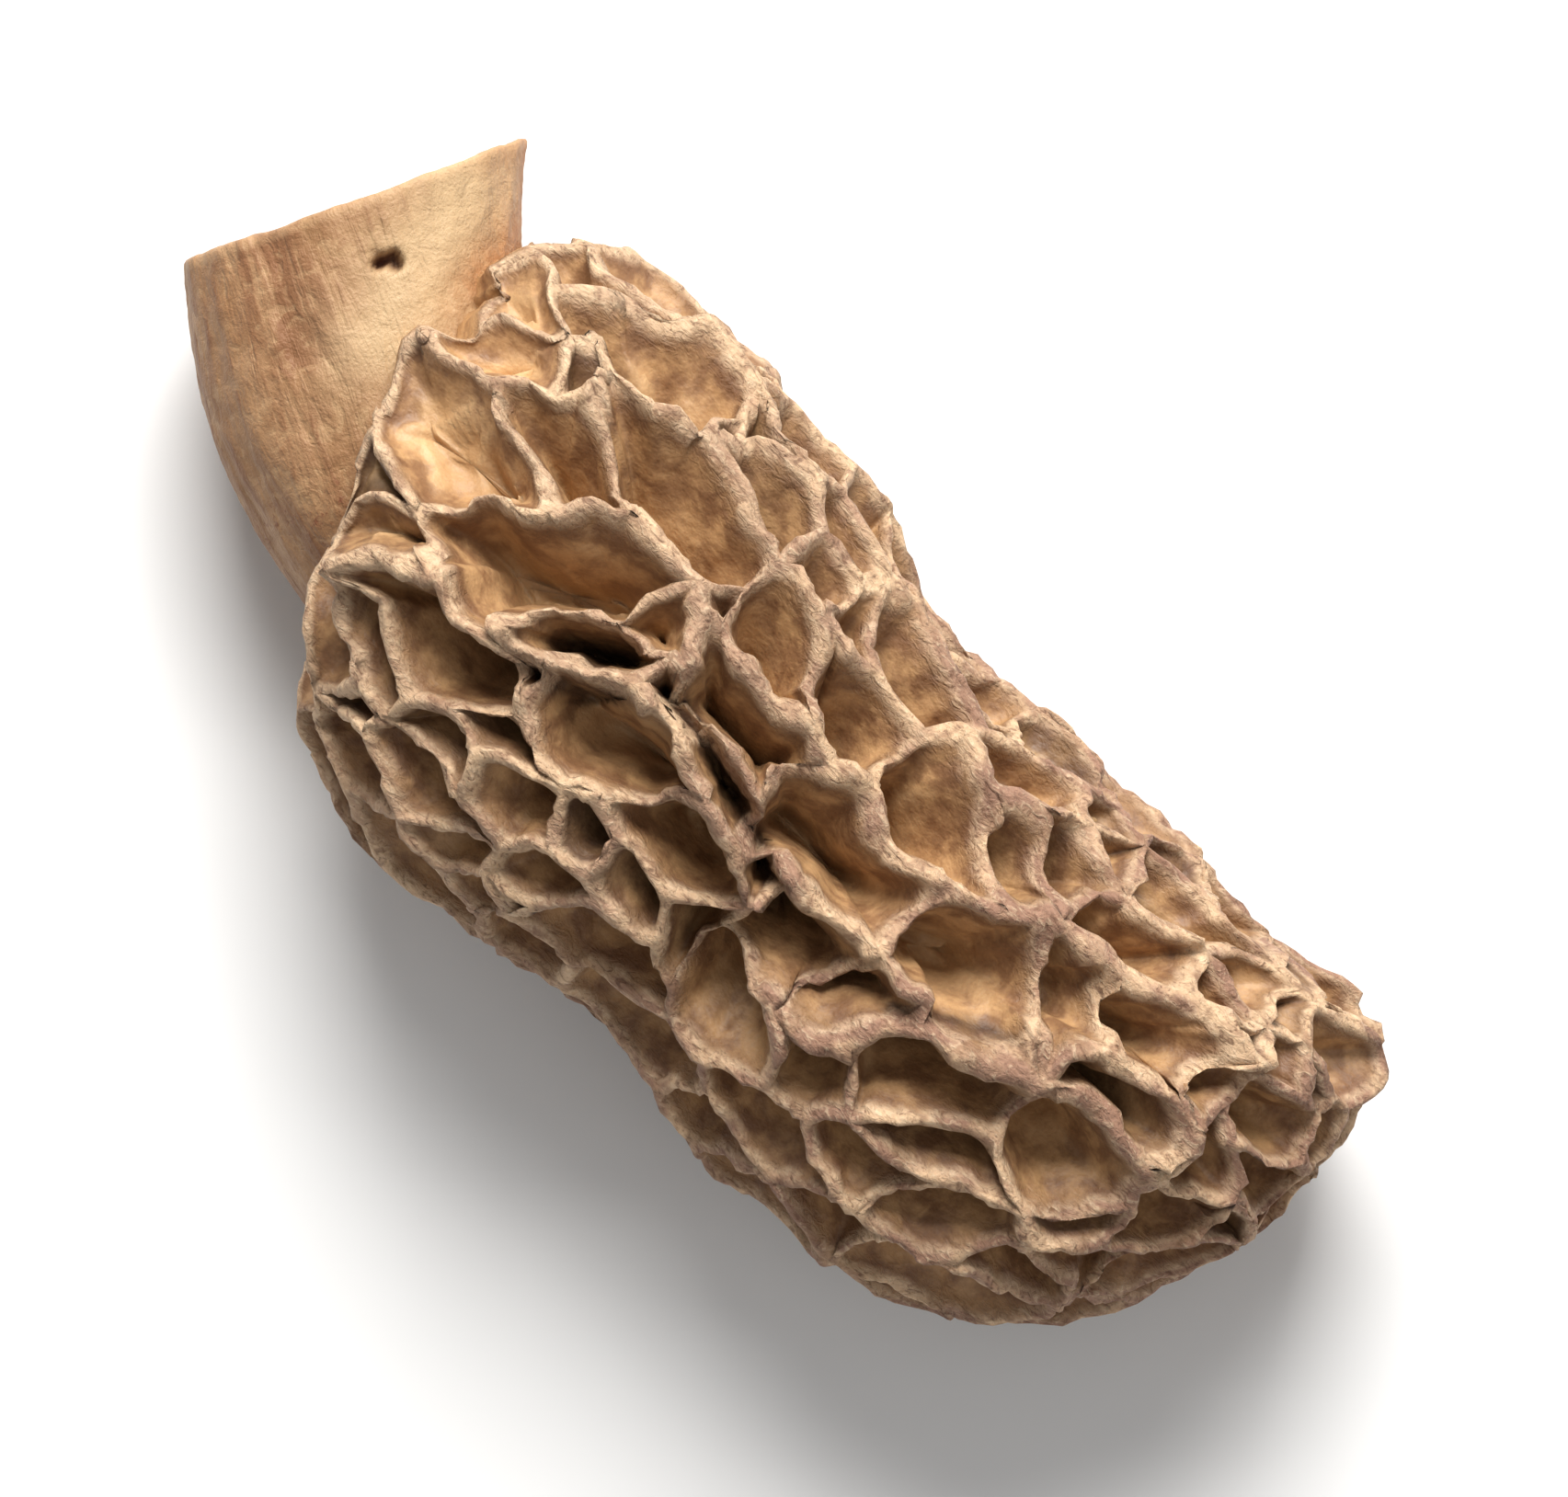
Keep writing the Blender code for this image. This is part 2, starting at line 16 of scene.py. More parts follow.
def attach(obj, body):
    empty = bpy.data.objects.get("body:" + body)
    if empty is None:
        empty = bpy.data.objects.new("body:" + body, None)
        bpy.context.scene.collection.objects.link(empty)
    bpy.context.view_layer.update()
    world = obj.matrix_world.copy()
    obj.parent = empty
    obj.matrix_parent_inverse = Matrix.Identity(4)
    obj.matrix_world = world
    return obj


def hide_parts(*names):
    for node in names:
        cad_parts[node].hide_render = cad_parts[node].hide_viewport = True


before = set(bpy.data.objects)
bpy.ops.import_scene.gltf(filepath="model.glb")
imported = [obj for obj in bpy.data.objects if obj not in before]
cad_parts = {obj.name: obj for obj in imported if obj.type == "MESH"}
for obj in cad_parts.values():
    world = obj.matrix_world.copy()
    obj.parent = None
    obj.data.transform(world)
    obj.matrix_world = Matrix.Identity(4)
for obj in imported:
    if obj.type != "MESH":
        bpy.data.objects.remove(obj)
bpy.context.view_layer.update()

# The body of the cap: a long hollow egg, a little flattened and bent, which leans over the stem
# at its base. It dried unevenly, so that it is lumpy. The ridges and pits follow this form.
MM = 0.001
MIDDLE = (23.093, 0.087)  # of the whole mushroom's box, along and across the cap
CAP_LENGTH = 57.0
# A station is (mm along the cap from the stem, mm).
HALF_WIDTH = ((0, 0), (3.4, 9.8), (5.4, 11.6), (9, 13.0), (14, 13.5), (19.5, 13.3), (26, 11.8),
              (36, 12.4), (46, 11.6), (51.4, 10.0), (55, 6.8), (57, 0))
HALF_HEIGHT = ((0, 0), (3.4, 8.4), (6, 10.0), (12, 11.3), (20, 11.4), (30, 10.4), (42, 10.2),
               (51, 8.7), (55, 5.6), (57, 0))
MIDDLE_SIDE = ((0, 0.4), (9, 0.5), (16, 0.0), (32, -0.4), (40, -0.3), (46, 0.5), (50, 1.7), (57, 5.2))
MIDDLE_UP = ((0, 8.8), (6, 9.6), (12, 10.6), (20, 10.6), (30, 9.6), (42, 9.4), (51, 8.5), (57, 7.8))
LEAN_SIDE, LEAN_UP, LEAN_END = 0.28, 0.34, 14.0
LUMP, LUMP_LENGTH = 0.5, 9.0
CELL_STRETCH = 0.45
HOLLOW_START, HOLLOW_LENGTH, HOLLOW_SIZE = 5.4, 44.4, 0.44
FLOOR_LEAST = 0.75
STEPS_ALONG_FORM = 600


def smooth(stations, along):
    """A smooth curve through the stations, read at each of the given turns along the cap."""
    places, values = np.array(stations, float).T
    turns = np.arccos(1 - 2 * places / CAP_LENGTH)
    slopes = np.gradient(values, turns)
    i = np.clip(np.searchsorted(turns, along) - 1, 0, len(turns) - 2)
    step = turns[i + 1] - turns[i]
    t = (along - turns[i]) / step
    bends = slopes[i] * t * (1 - t) ** 2 - slopes[i + 1] * t**2 * (1 - t)
    return values[i] * (1 + 2 * t) * (1 - t) ** 2 + values[i + 1] * t**2 * (3 - 2 * t) + step * bends


def even_turns():
    """Pairs of turn along the cap and polar angle, so that a pit keeps its shape on the sphere."""
    turns = np.linspace(0.004, math.pi - 0.004, STEPS_ALONG_FORM)
    along = CAP_LENGTH * (1 - np.cos(turns)) / 2
    radius = (smooth(HALF_WIDTH, turns) + smooth(HALF_HEIGHT, turns)) / 2
    steps = np.hypot(np.diff(along), np.diff(radius))
    stretch = 1 + CELL_STRETCH * (np.diff(along) / steps) ** 2
    way = np.concatenate([[0], np.cumsum(steps / stretch * 2 / (radius[1:] + radius[:-1]))])
    return turns, 2 * np.arctan(np.exp(way - way[-1] / 2))


TURNS, POLARS = even_turns()


def unit(ways):
    """The same directions, each 1 long."""
    return ways / np.linalg.norm(ways, axis=1, keepdims=True)


def form(ways, drop=0.0, raised=0.0):
    """Points of the cap for directions from its middle, sunk by drop mm from its outer skin.

    The drop stops short of the hollow, and raised mm are taken off it after that.
    """
    ways = unit(np.atleast_2d(ways))
    polar = np.arccos(np.clip(-ways[:, 0], -1, 1))
    round_it = np.arctan2(ways[:, 2], ways[:, 1])
    turn = np.interp(polar, POLARS, TURNS)
    rise = (1 - np.cos(turn)) / 2
    side = smooth(HALF_WIDTH, turn) * np.cos(round_it)
    up = smooth(HALF_HEIGHT, turn) * np.sin(round_it)
    middle = np.stack([rise * CAP_LENGTH, smooth(MIDDLE_SIDE, turn), smooth(MIDDLE_UP, turn)], 1)
    lean = np.clip(1 - rise * CAP_LENGTH / LEAN_END, 0, 1)
    lean = lean * lean * (3 - 2 * lean)
    outer = middle + np.stack([-lean * (LEAN_SIDE * side + LEAN_UP * up), side, up], 1)
    inner = middle + (outer - middle) * HOLLOW_SIZE
    inner[:, 0] += HOLLOW_START + rise * HOLLOW_LENGTH - middle[:, 0]
    depth = np.linalg.norm(outer - inner, axis=1)
    lumps = [LUMP * noise.noise(Vector(point) / LUMP_LENGTH) for point in outer]
    part = (np.minimum(drop, depth - FLOOR_LEAST) - raised + lumps) / depth
    return outer + (inner - outer) * part[:, None]


def hollow(polar, round_it):
    """A point of the inner skin, lumps left out."""
    way = np.array([[-math.cos(polar), math.sin(polar) * math.cos(round_it),
                     math.sin(polar) * math.sin(round_it)]])
    turn = np.interp(polar, POLARS, TURNS)
    rise = (1 - math.cos(turn)) / 2
    outer, deep = form(way)[0], form(way, 1.0)[0]
    depth_way = (deep - outer) / np.linalg.norm(deep - outer)
    middle_x = HOLLOW_START + rise * HOLLOW_LENGTH
    reach = (middle_x - rise * CAP_LENGTH) / depth_way[0] if abs(depth_way[0]) > 1e-6 else 0
    return outer + depth_way * reach


# The net of ridges: thin blades of flesh that part the pits. The pits of the upper side lie where
# the photograph shows them, each as a line of pixels along its middle. Those of the sides and the
# underside, which it hides, follow a rule.
MM_PER_PIXEL = 0.11
CAP_START_PIXEL, CAP_AXIS_PIXEL = 1008.2, 516.0  # where the cap starts and its axis runs
LINE_STEP_PIXELS = 10
WIDE_PITS = (
    ((1100, 352), (1122, 366), (1138, 380)), ((1200, 374), (1212, 390), (1222, 408)),
    ((1128, 409), (1152, 412), (1180, 417)), ((1250, 450), (1255, 463)), ((1278, 472), (1286, 490)),
    ((1306, 504), (1312, 530)), ((1260, 520), (1283, 545)), ((1322, 582), (1340, 582)),
    ((1300, 622), (1320, 630), (1340, 638)), ((1367, 646), (1365, 662)), ((1452, 642), (1461, 650)),
    ((1172, 480), (1198, 498)), ((1204, 522), (1213, 529)), ((1200, 338), (1218, 350)),
    ((1105, 434), (1114, 446), (1122, 460)),
)
PITS = (
    ((1124, 328), (1150, 329)), ((1170, 342), (1184, 350)),
    ((1162, 364), (1170, 388)), ((1230, 437),), ((1093, 401), (1108, 408)), ((1203, 440),),
    ((1226, 468), (1240, 484), (1252, 497)), ((1150, 308),), ((1178, 308),),
    ((1212, 316), (1230, 328)), ((1228, 366),), ((1244, 369),), ((1243, 390), (1253, 405)),
    ((1262, 372),), ((1268, 403),), ((1266, 427),), ((1278, 445),), ((1293, 456), (1310, 476)),
    ((1331, 466),), ((1075, 487), (1085, 502)), ((1104, 498), (1110, 512)),
    ((1094, 520), (1100, 537)), ((1120, 531),), ((1132, 480), (1152, 494)), ((1150, 512),),
    ((1196, 540), (1200, 556)), ((1209, 556), (1213, 568)), ((1224, 578), (1232, 594)),
    ((1172, 566), (1188, 570)), ((1130, 547),), ((1258, 563), (1273, 577)),
    ((1277, 591), (1294, 594)), ((1366, 583), (1366, 600)),
    ((1385, 602), (1410, 611)), ((1424, 622),), ((1337, 500), (1355, 510)),
    ((1362, 525), (1371, 540)), ((1388, 568), (1402, 578)), ((1380, 519),), ((1388, 534),),
    ((1402, 548), (1425, 563)), ((1307, 650), (1325, 656), (1340, 664)), ((1424, 647), (1426, 667)),
    ((1315, 680), (1338, 688)), ((1282, 692),), ((1305, 707), (1318, 718)), ((1352, 705),),
    ((1370, 702), (1388, 707)), ((1385, 683),), ((1408, 678), (1410, 695)), ((1420, 707),),
    ((1446, 588),), ((1460, 597),), ((1456, 626),), ((1480, 618),), ((1454, 665), (1459, 673)),
    ((1477, 651),), ((1478, 592),), ((1162, 446), (1190, 448)),
)
NARROW_PITS = (
    ((1093, 331), (1106, 327)), ((1082, 370), (1094, 386)),
    ((1070, 428), (1070, 450)), ((1085, 432), (1091, 458)),
    ((1077, 474), (1094, 486)), ((1112, 484), (1123, 489)), ((1150, 461), (1164, 469)),
    ((1205, 466), (1222, 488), (1234, 508), (1242, 531), (1250, 550)), ((1289, 402), (1292, 412)),
    ((1300, 422), (1315, 440)), ((1180, 504), (1188, 514)), ((1175, 514), (1185, 529)),
    ((1160, 541), (1174, 545)), ((1137, 556), (1145, 562)), ((1156, 553), (1162, 562)),
    ((1338, 530), (1350, 545)), ((1329, 491),), ((1343, 484),), ((1362, 497), (1385, 508)),
    ((1397, 512), (1403, 525)), ((1409, 531), (1425, 548)), ((1385, 543), (1398, 545)),
    ((1431, 553), (1438, 562)), ((1268, 621), (1283, 622)),
    ((1376, 623), (1390, 630), (1395, 646)), ((1293, 661), (1308, 669)),
    ((1407, 652),), ((1425, 685), (1438, 692)), ((1424, 595),),
    ((1427, 606), (1438, 615)), ((1468, 608),), ((1471, 624), (1474, 635)),
    ((1442, 680), (1452, 684)), ((1467, 586), (1472, 597)),
)
# For each kind: how far its ridges are pushed outwards in mm, and how deep its floor lies
KINDS = ((WIDE_PITS, 0.5, 5.6), (PITS, 0.2, 5.2), (NARROW_PITS, 0.0, 4.8))
HIDDEN_SPACING, HIDDEN_STRETCH = 3.65, 1.25
HIDDEN_PUSH, HIDDEN_DEPTH = 0.2, 4.6
HIDDEN_PAIRS, PAIR_STEP = 0.3, 0.16  # share of them made of two cells, this far apart
STEM_END, STEM_WEIGHT = 0.93, 0.085  # the cap is left open for the stem near its start
DRAWS, SEED = 4000, 7
GRID_ALONG, GRID_ROUND = 170, 150
SIDE_STEP = 0.02  # a small step over the form, to measure its width
SHORT_EDGE, LONG_EDGE = 1.1, 3.4  # mm: shorter ridges are joined, longer ones split
# Ridges along the cap stand higher than those across it: mm, and which runs count as which
LONG_RISE, CROSS_RISE = 0.55, -1.25
CROSS_RUN, LONG_RUN = 0.2, 0.7
WAVE, WAVE_LENGTH = 0.035, 3.2  # sideways waves of the net, in turns and mm
WAVE_PLACES = ((9.3, -1.5, -7.9), (0, 0, 0), (6.3, 0.2, -2.7))  # where each axis reads its noise


def on_plan(pixel):
    """Where a pixel of the photograph lies, in mm along and across the cap."""
    along, across = (pixel[0] + pixel[1]) / math.sqrt(2), (pixel[0] - pixel[1]) / math.sqrt(2)
    return np.array([along - CAP_START_PIXEL, across - CAP_AXIS_PIXEL]) * MM_PER_PIXEL


def seen_on_cap(pixel, ways, points):
    """The direction of the cap's upper skin point that the photograph shows at this pixel."""
    return ways[np.argmin(np.linalg.norm(points[:, :2] - on_plan(pixel), axis=1))]


def close_pixels(line):
    """The line with points added, so that its cells join into one pit."""
    close = [line[0]]
    for start, end in zip(line, line[1:]):
        parts = math.ceil(math.dist(start, end) / LINE_STEP_PIXELS)
        close += list(np.linspace(start, end, parts + 1)[1:])
    return close


def skin_grid():
    """A fine grid of directions over the upper half of the cap, and their points."""
    polar, round_it = np.meshgrid(np.linspace(0.25, 3.0, GRID_ALONG),
                                  np.linspace(0.12, math.pi - 0.12, GRID_ROUND))
    ways = np.stack([-np.cos(polar), np.sin(polar) * np.cos(round_it),
                     np.sin(polar) * np.sin(round_it)], -1).reshape(-1, 3)
    return ways, form(ways)


def pit_lines():
    """Every pit: the directions along its middle, how far it pushes its ridges, and its depth."""
    ways, points = skin_grid()
    lines = [([seen_on_cap(pixel, ways, points) for pixel in close_pixels(line)], push, depth)
             for pits, push, depth in KINDS for line in pits]
    taken = np.array([way for line in lines for way in line[0]] + [(-1, 0, 0)])
    draw = np.random.default_rng(SEED)
    tries = unit(draw.normal(size=(DRAWS, 3)))
    stretch = np.array([1 / HIDDEN_STRETCH, 1, 1])
    places, held = form(tries) * stretch, form(taken) * stretch
    gaps = np.min(np.linalg.norm(places[:, None] - held[None], axis=2), axis=1)
    gaps[-tries[:, 0] > STEM_END] = 0
    hidden = []
    while gaps.max() > HIDDEN_SPACING:
        best = int(np.argmax(gaps))
        hidden.append([tries[best]])
        gaps = np.minimum(gaps, np.linalg.norm(places - places[best], axis=1))
    for line in hidden:
        if draw.random() < HIDDEN_PAIRS:
            partner = line[0] + np.array([PAIR_STEP, 0, 0])
            line.append(partner / np.linalg.norm(partner))
    return lines + [(line, HIDDEN_PUSH, HIDDEN_DEPTH) for line in hidden]


def hull_faces(points):
    """The triangles of the points' convex hull, always in the same order."""
    bm = bmesh.new()
    number_of = bm.verts.layers.int.new("number")
    for number, point in enumerate(points):
        bm.verts.new(point)[number_of] = number
    bmesh.ops.convex_hull(bm, input=bm.verts[:])
    rings = [[vert[number_of] for vert in face.verts] for face in bm.faces]
    bm.free()
    return sorted(ring[ring.index(min(ring)):] + ring[:ring.index(min(ring))] for ring in rings)


def layers(bm, *names):
    """The vertices' layers of these names."""
    kinds = {"way": bm.verts.layers.float_vector, "root": bm.verts.layers.int}
    return [kinds.get(name, bm.verts.layers.float)[name] for name in names]


def read(bm, name):
    """A layer's value at every vertex."""
    layer, = layers(bm, name)
    return np.array([vert[layer] for vert in bm.verts], float)


def points_of(bm):
    """Where the vertices lie."""
    return np.array([vert.co for vert in bm.verts])


def place(bm):
    """Puts the vertices on the cap's outer skin, by their directions."""
    for vert, point in zip(bm.verts, form(read(bm, "way"))):
        vert.co = point


def seed_pits(bm, lines):
    """A vertex for each cell of each pit, pushed out by its kind, and one for the stem's end."""
    pit = bm.verts.layers.int["pit"]
    for number, (line, push, _) in enumerate(lines):
        for way in line:
            aside = np.cross(way, (1, 0, 0))
            near = way + SIDE_STEP * aside / np.linalg.norm(aside)
            scale = np.linalg.norm(form(near) - form(way)) / SIDE_STEP
            bm.verts.new(way * (1 + 4 * push / scale**2))[pit] = number
    bm.verts.new((-1 - STEM_WEIGHT, 0, 0))[pit] = len(lines)


def net_round_seeds(bm):
    """Turns the seeds into the net whose cells lie round them, with a corner in each triangle."""
    pit_of_vert, pit_of_face = bm.verts.layers.int["pit"], bm.faces.layers.int["pit"]
    seeds = bm.verts[:]
    for ring in hull_faces([seed.co for seed in seeds]):
        bm.faces.new([seeds[number] for number in ring])
    for seed in seeds:
        if not seed.link_faces:
            bm.verts.remove(seed)
    seeds = bm.verts[:]
    crossings = bm.edges[:]
    for corner in bmesh.ops.poke(bm, faces=bm.faces[:])["verts"]:
        a, b, c = (edge.other_vert(corner).co for edge in corner.link_edges)
        normal = (b - a).cross(c - a).normalized()
        corner.co = normal if normal.dot(a) > 0 else -normal
    for edge in crossings:
        bmesh.ops.rotate_edges(bm, edges=[edge], use_ccw=True)
    for seed in seeds:
        for face in seed.link_faces:
            face[pit_of_face] = seed[pit_of_vert]
    bmesh.ops.dissolve_verts(bm, verts=seeds)


def ridge_net(lines):
    """A mesh of one face for each pit, whose edges are the ridges' middle lines."""
    bm = bmesh.new()
    bm.verts.layers.int.new("pit")
    way_of = bm.verts.layers.float_vector.new("way")
    rise = bm.verts.layers.float.new("rise")
    for name in ("drop", "deep", "crest", "slot_shade"):
        bm.verts.layers.float.new(name)
    bm.verts.layers.int.new("root")
    pit = bm.faces.layers.int.new("pit")
    bm.faces.layers.int.new("cell")
    seed_pits(bm, lines)
    net_round_seeds(bm)
    for number in range(len(lines)):
        cells = [face for face in bm.faces if face[pit] == number]
        if len(cells) > 1:
            bmesh.ops.dissolve_faces(bm, faces=cells)
    for vert in bm.verts:
        vert[way_of] = vert.co.normalized()
    place(bm)
    bmesh.ops.remove_doubles(bm, verts=bm.verts[:], dist=SHORT_EDGE)
    for _ in range(2):
        long_edges = [edge for edge in bm.edges if edge.calc_length() > LONG_EDGE]
        bmesh.ops.bisect_edges(bm, edges=long_edges, cuts=1)
    for vert in bm.verts:
        sway = [noise.noise(vert.co / WAVE_LENGTH + Vector(place_of)) for place_of in WAVE_PLACES]
        vert[way_of] = (vert[way_of] + Vector(sway) * WAVE).normalized()
    place(bm)
    for vert in bm.verts:
        runs = [abs((edge.other_vert(vert).co - vert.co).normalized().x) for edge in vert.link_edges]
        share = (sum(runs) / len(runs) - CROSS_RUN) / (LONG_RUN - CROSS_RUN)
        vert[rise] = CROSS_RISE + (LONG_RISE - CROSS_RISE) * min(1.0, max(0.0, share))
    return bm


pits = pit_lines()
cap_net = ridge_net(pits)

# The cap's flesh: blades and pits in full. The blades dried wavy, with uneven tops, and stand on
# walls that flute down to rounded floors. The net's lines are split finely and rounded first, and
# each pit's face is then extruded ring by ring, from the blade's top to the floor.
FINE, FINE_BELOW, BELOW = 0.43, 0.66, 7.5  # mm between a ridge's points, coarser below a height
ROUNDINGS = 20
EASE_ALONG, EASE_CORNER = 0.5, 0.16  # how fast a ridge's run and its corners are rounded
PEAK, SAG = 0.45, 0.2  # ridges stand up where they meet, and sag between
SWAYS = ((0.26, 1.7), (0.15, 0.75))  # sideways waves of the blades: size and length
RIM_SWAY = 1.8  # how much stronger they are at the rim
TILT, TILT_LENGTH = 0.55, 3.2  # how far a blade's top leans over
CREST_WAVES = ((0.5, 4.2), (0.26, 1.6), (0.10, 0.75))  # how uneven their tops are
THICK_CHANGES, LONG_THICK = ((0.6, 2.1), (0.5, 0.8)), 0.4  # shares of a blade's thickness
LEAST_THICK = 0.6
FLUTES = ((0.42, 1.3), (0.6, 4.5))  # how far the walls bulge in and out
RADIUS = 13.0  # of the cap, about, to turn mm into radians
RIM_DEPTH = 0.35  # share of its kind's depth that a pit at the rim has
WIDE_RIM_DEPTH, WIDE_AROUND = 0.52, 22.0  # the same for a pit with a longer edge than this
DEPTH_BY_ROOM = 0.3  # a small pit is no deeper than this share of its edge's length
# Each ring: mm from the ridge's middle line, share of the depth, and mm over which it is rounded
RINGS = ((0.06, 0.004, 0.03), (0.13, 0.022, 0.06), (0.195, 0.055, 0.12), (0.25, 0.11, 0.22),
         (0.33, 0.20, 0.35), (0.46, 0.32, 0.45), (0.65, 0.45, 0.55), (0.90, 0.58, 0.7),
         (1.22, 0.71, 0.85), (1.62, 0.84, 1.0), (2.1, 0.94, 1.0), (2.8, 0.99, 1.0),
         (4.0, 1.0, 1.0))
LEAST_REACH = 0.45
KEEP_OFF = 0.7  # share of its way from the ridge that rounding leaves a ring
TOP_FADE = 0.7  # how much of a ridge's own height the floor beside it lacks
REACH_WIDTH = 1.2  # mm over which a pit's width is evened
CREST_WIDTH = 0.27  # mm from a ridge's middle to where its top ends
# Pits whose middles lie close to their edges, by this reach, get painted shade: darkest in the
# narrowest.
NARROW_REACH = 1.1  # mm to the middle of a pit that is a dark slot
# Long ridges that stand out: the line in the photograph's pixels, mm higher, and how much thicker
TALL = (
    (((1079, 411), (1112, 421), (1127, 427), (1145, 443), (1166, 459), (1195, 472)), 1.2, 1.0),
    (((1195, 472), (1210, 490), (1222, 510), (1230, 530), (1240, 554), (1250, 585),
      (1259, 605)), 1.3, 1.1),
    (((1127, 401), (1182, 401), (1208, 414), (1219, 438), (1214, 456)), 0.8, 0.7),
    (((1214, 456), (1236, 488), (1248, 510), (1257, 540), (1278, 561), (1302, 589), (1341, 602),
      (1378, 615), (1405, 628)), 1.3, 1.2),
    (((1180, 357), (1208, 361), (1222, 372), (1235, 390), (1258, 422), (1272, 456)), 1.0, 0.7),
    (((1240, 462), (1262, 480), (1283, 508), (1291, 538), (1325, 554), (1352, 558), (1378, 578),
      (1405, 595), (1440, 617)), 1.2, 1.2),
    (((1187, 322), (1215, 331), (1240, 352), (1258, 385), (1286, 420), (1308, 450), (1321, 490),
      (1331, 517), (1358, 524), (1380, 551), (1410, 570)), 1.0, 0.8),
    (((1257, 606), (1301, 603), (1341, 616), (1378, 637), (1396, 659), (1410, 655),
      (1412, 640)), 1.1, 1.3),
)
# Tall edges of the cap's outline: the same
EDGES = (
    (((1478, 580), (1488, 600), (1490, 622), (1500, 635)), 0.7, 0.4),
    (((1150, 294), (1165, 290), (1180, 297)), 0.7, 0.2),
    (((1190, 303), (1205, 311), (1222, 313), (1238, 327), (1246, 345)), 0.7, 0.4),
)
TALL_REACH = 0.9  # mm to either side of its line
UPPER = 8.0  # mm up, from where the photograph shows the mushroom
# The ridges are thin near this line by the stem, and stouter between these mm from it
THIN_LINE = ((1150, 345), (1185, 370), (1235, 385))
STOUT_FROM, STOUT_TO, STOUT = 5.5, 11.0, 0.45
# How far a long ridge draws the net to its line, from how far off, and from what height on
PULL, PULL_REACH = 0.85, 1.05
PULL_LOW, PULL_HIGH = 14.0, 17.0
PULL_ROUNDS, PULL_STEP, PULL_MOST = 3, 0.01, 0.1


def noises(points, length, place_of=(0, 0, 0)):
    """Smooth random values from -1 to 1, which change over this length in mm."""
    return np.array([noise.noise(Vector(point) / length + Vector(place_of)) for point in points])


def waves(points, sizes, place_of):
    """Such values of several sizes and lengths, added up."""
    return sum(size * noises(points, length, place_of) for size, length in sizes)


def round_ring(values, width, length):
    """A closed ring of values, this many mm long, rounded over a width in mm."""
    parts = np.fft.rfft(values, axis=0)
    turns = np.arange(len(parts)) * 2 * math.pi * width / length
    fade = np.exp(-turns**2 / 2)
    return np.fft.irfft(parts * (fade[:, None] if values.ndim > 1 else fade), n=len(values), axis=0)


def line_offsets(points, line):
    """The ways from the points to a line of pixels, seen from above, in mm."""
    best = np.full((len(points), 2), 1e6)
    for start, end in zip(line, line[1:]):
        a, run = on_plan(start), on_plan(end) - on_plan(start)
        share = np.clip((points[:, :2] - a) @ run / (run @ run), 0, 1)
        offset = a + share[:, None] * run - points[:, :2]
        nearer = np.linalg.norm(offset, axis=1) < np.linalg.norm(best, axis=1)
        best[nearer] = offset[nearer]
    return best


def line_gaps(points, line):
    """How far the points lie from a line of pixels, seen from above, in mm."""
    return np.linalg.norm(line_offsets(points, line), axis=1)


def pull_to_ridges(ways):
    """Draws the net's points near a long ridge's line towards that line, seen from above."""
    points = form(ways)
    offsets = np.stack([line_offsets(points, line) for line, _, _ in TALL])
    nearest = offsets[np.argmin(np.linalg.norm(offsets, axis=2), axis=0), np.arange(len(points))]
    share = PULL * np.exp(-(np.linalg.norm(nearest, axis=1) / PULL_REACH) ** 2)
    share *= np.clip((points[:, 2] - PULL_LOW) / (PULL_HIGH - PULL_LOW), 0, 1)
    moving = np.flatnonzero(share > 0.01)
    targets = (points[:, :2] + nearest * share[:, None])[moving]
    moved = unit(ways[moving])
    for _ in range(PULL_ROUNDS):
        at = form(moved)
        slopes = [(form(moved + np.eye(3)[axis] * PULL_STEP) - at)[:, :2] / PULL_STEP
                  for axis in (0, 1)]
        step = np.linalg.solve(np.stack(slopes, 2), (targets - at[:, :2])[..., None])[..., 0]
        moved[:, :2] += np.clip(step, -PULL_MOST, PULL_MOST)
        moved = unit(moved)
    ways = ways.copy()
    ways[moving] = moved
    return ways


def refine_net(bm, pits_in_all):
    """Splits the ridges' lines finely, rounds their corners and waves them."""
    pit = bm.faces.layers.int["pit"]
    way_of, rise, root = layers(bm, "way", "rise", "root")
    for vert in bm.verts:
        vert[rise] += PEAK if len(vert.link_edges) > 2 else -SAG
    cuts_of = {}
    for edge in bm.edges:
        low = min(vert.co.z for vert in edge.verts) < BELOW
        cuts_of[edge] = round(edge.calc_length() / (FINE_BELOW if low else FINE)) - 1
    for cuts in range(1, 10):
        longer = [edge for edge, wanted in cuts_of.items() if wanted == cuts]
        bmesh.ops.bisect_edges(bm, edges=longer, cuts=cuts)
    bm.verts.index_update()
    ends = np.array([[vert.index for vert in edge.verts] for edge in bm.edges])
    count = np.bincount(ends.ravel(), minlength=len(bm.verts))
    values = np.column_stack([read(bm, "way"), read(bm, "rise")])
    ease = np.where(count == 2, EASE_ALONG, EASE_CORNER)[:, None]
    for _ in range(ROUNDINGS):
        near = np.zeros_like(values)
        np.add.at(near, ends[:, 0], values[ends[:, 1]])
        np.add.at(near, ends[:, 1], values[ends[:, 0]])
        values += (near / count[:, None] - values) * ease
    values[:, :3] = pull_to_ridges(values[:, :3])
    points = form(values[:, :3])
    at_rim = np.array([any(face[pit] == pits_in_all for face in vert.link_faces)
                       for vert in bm.verts])
    for axis, place_of in enumerate(WAVE_PLACES):
        sway = waves(points, SWAYS, place_of) * np.where(at_rim, RIM_SWAY, 1)
        values[:, axis] += sway / RADIUS
    for vert, value in zip(bm.verts, values):
        vert[way_of], vert[rise], vert[root] = Vector(value[:3]).normalized(), value[3], vert.index
    place(bm)


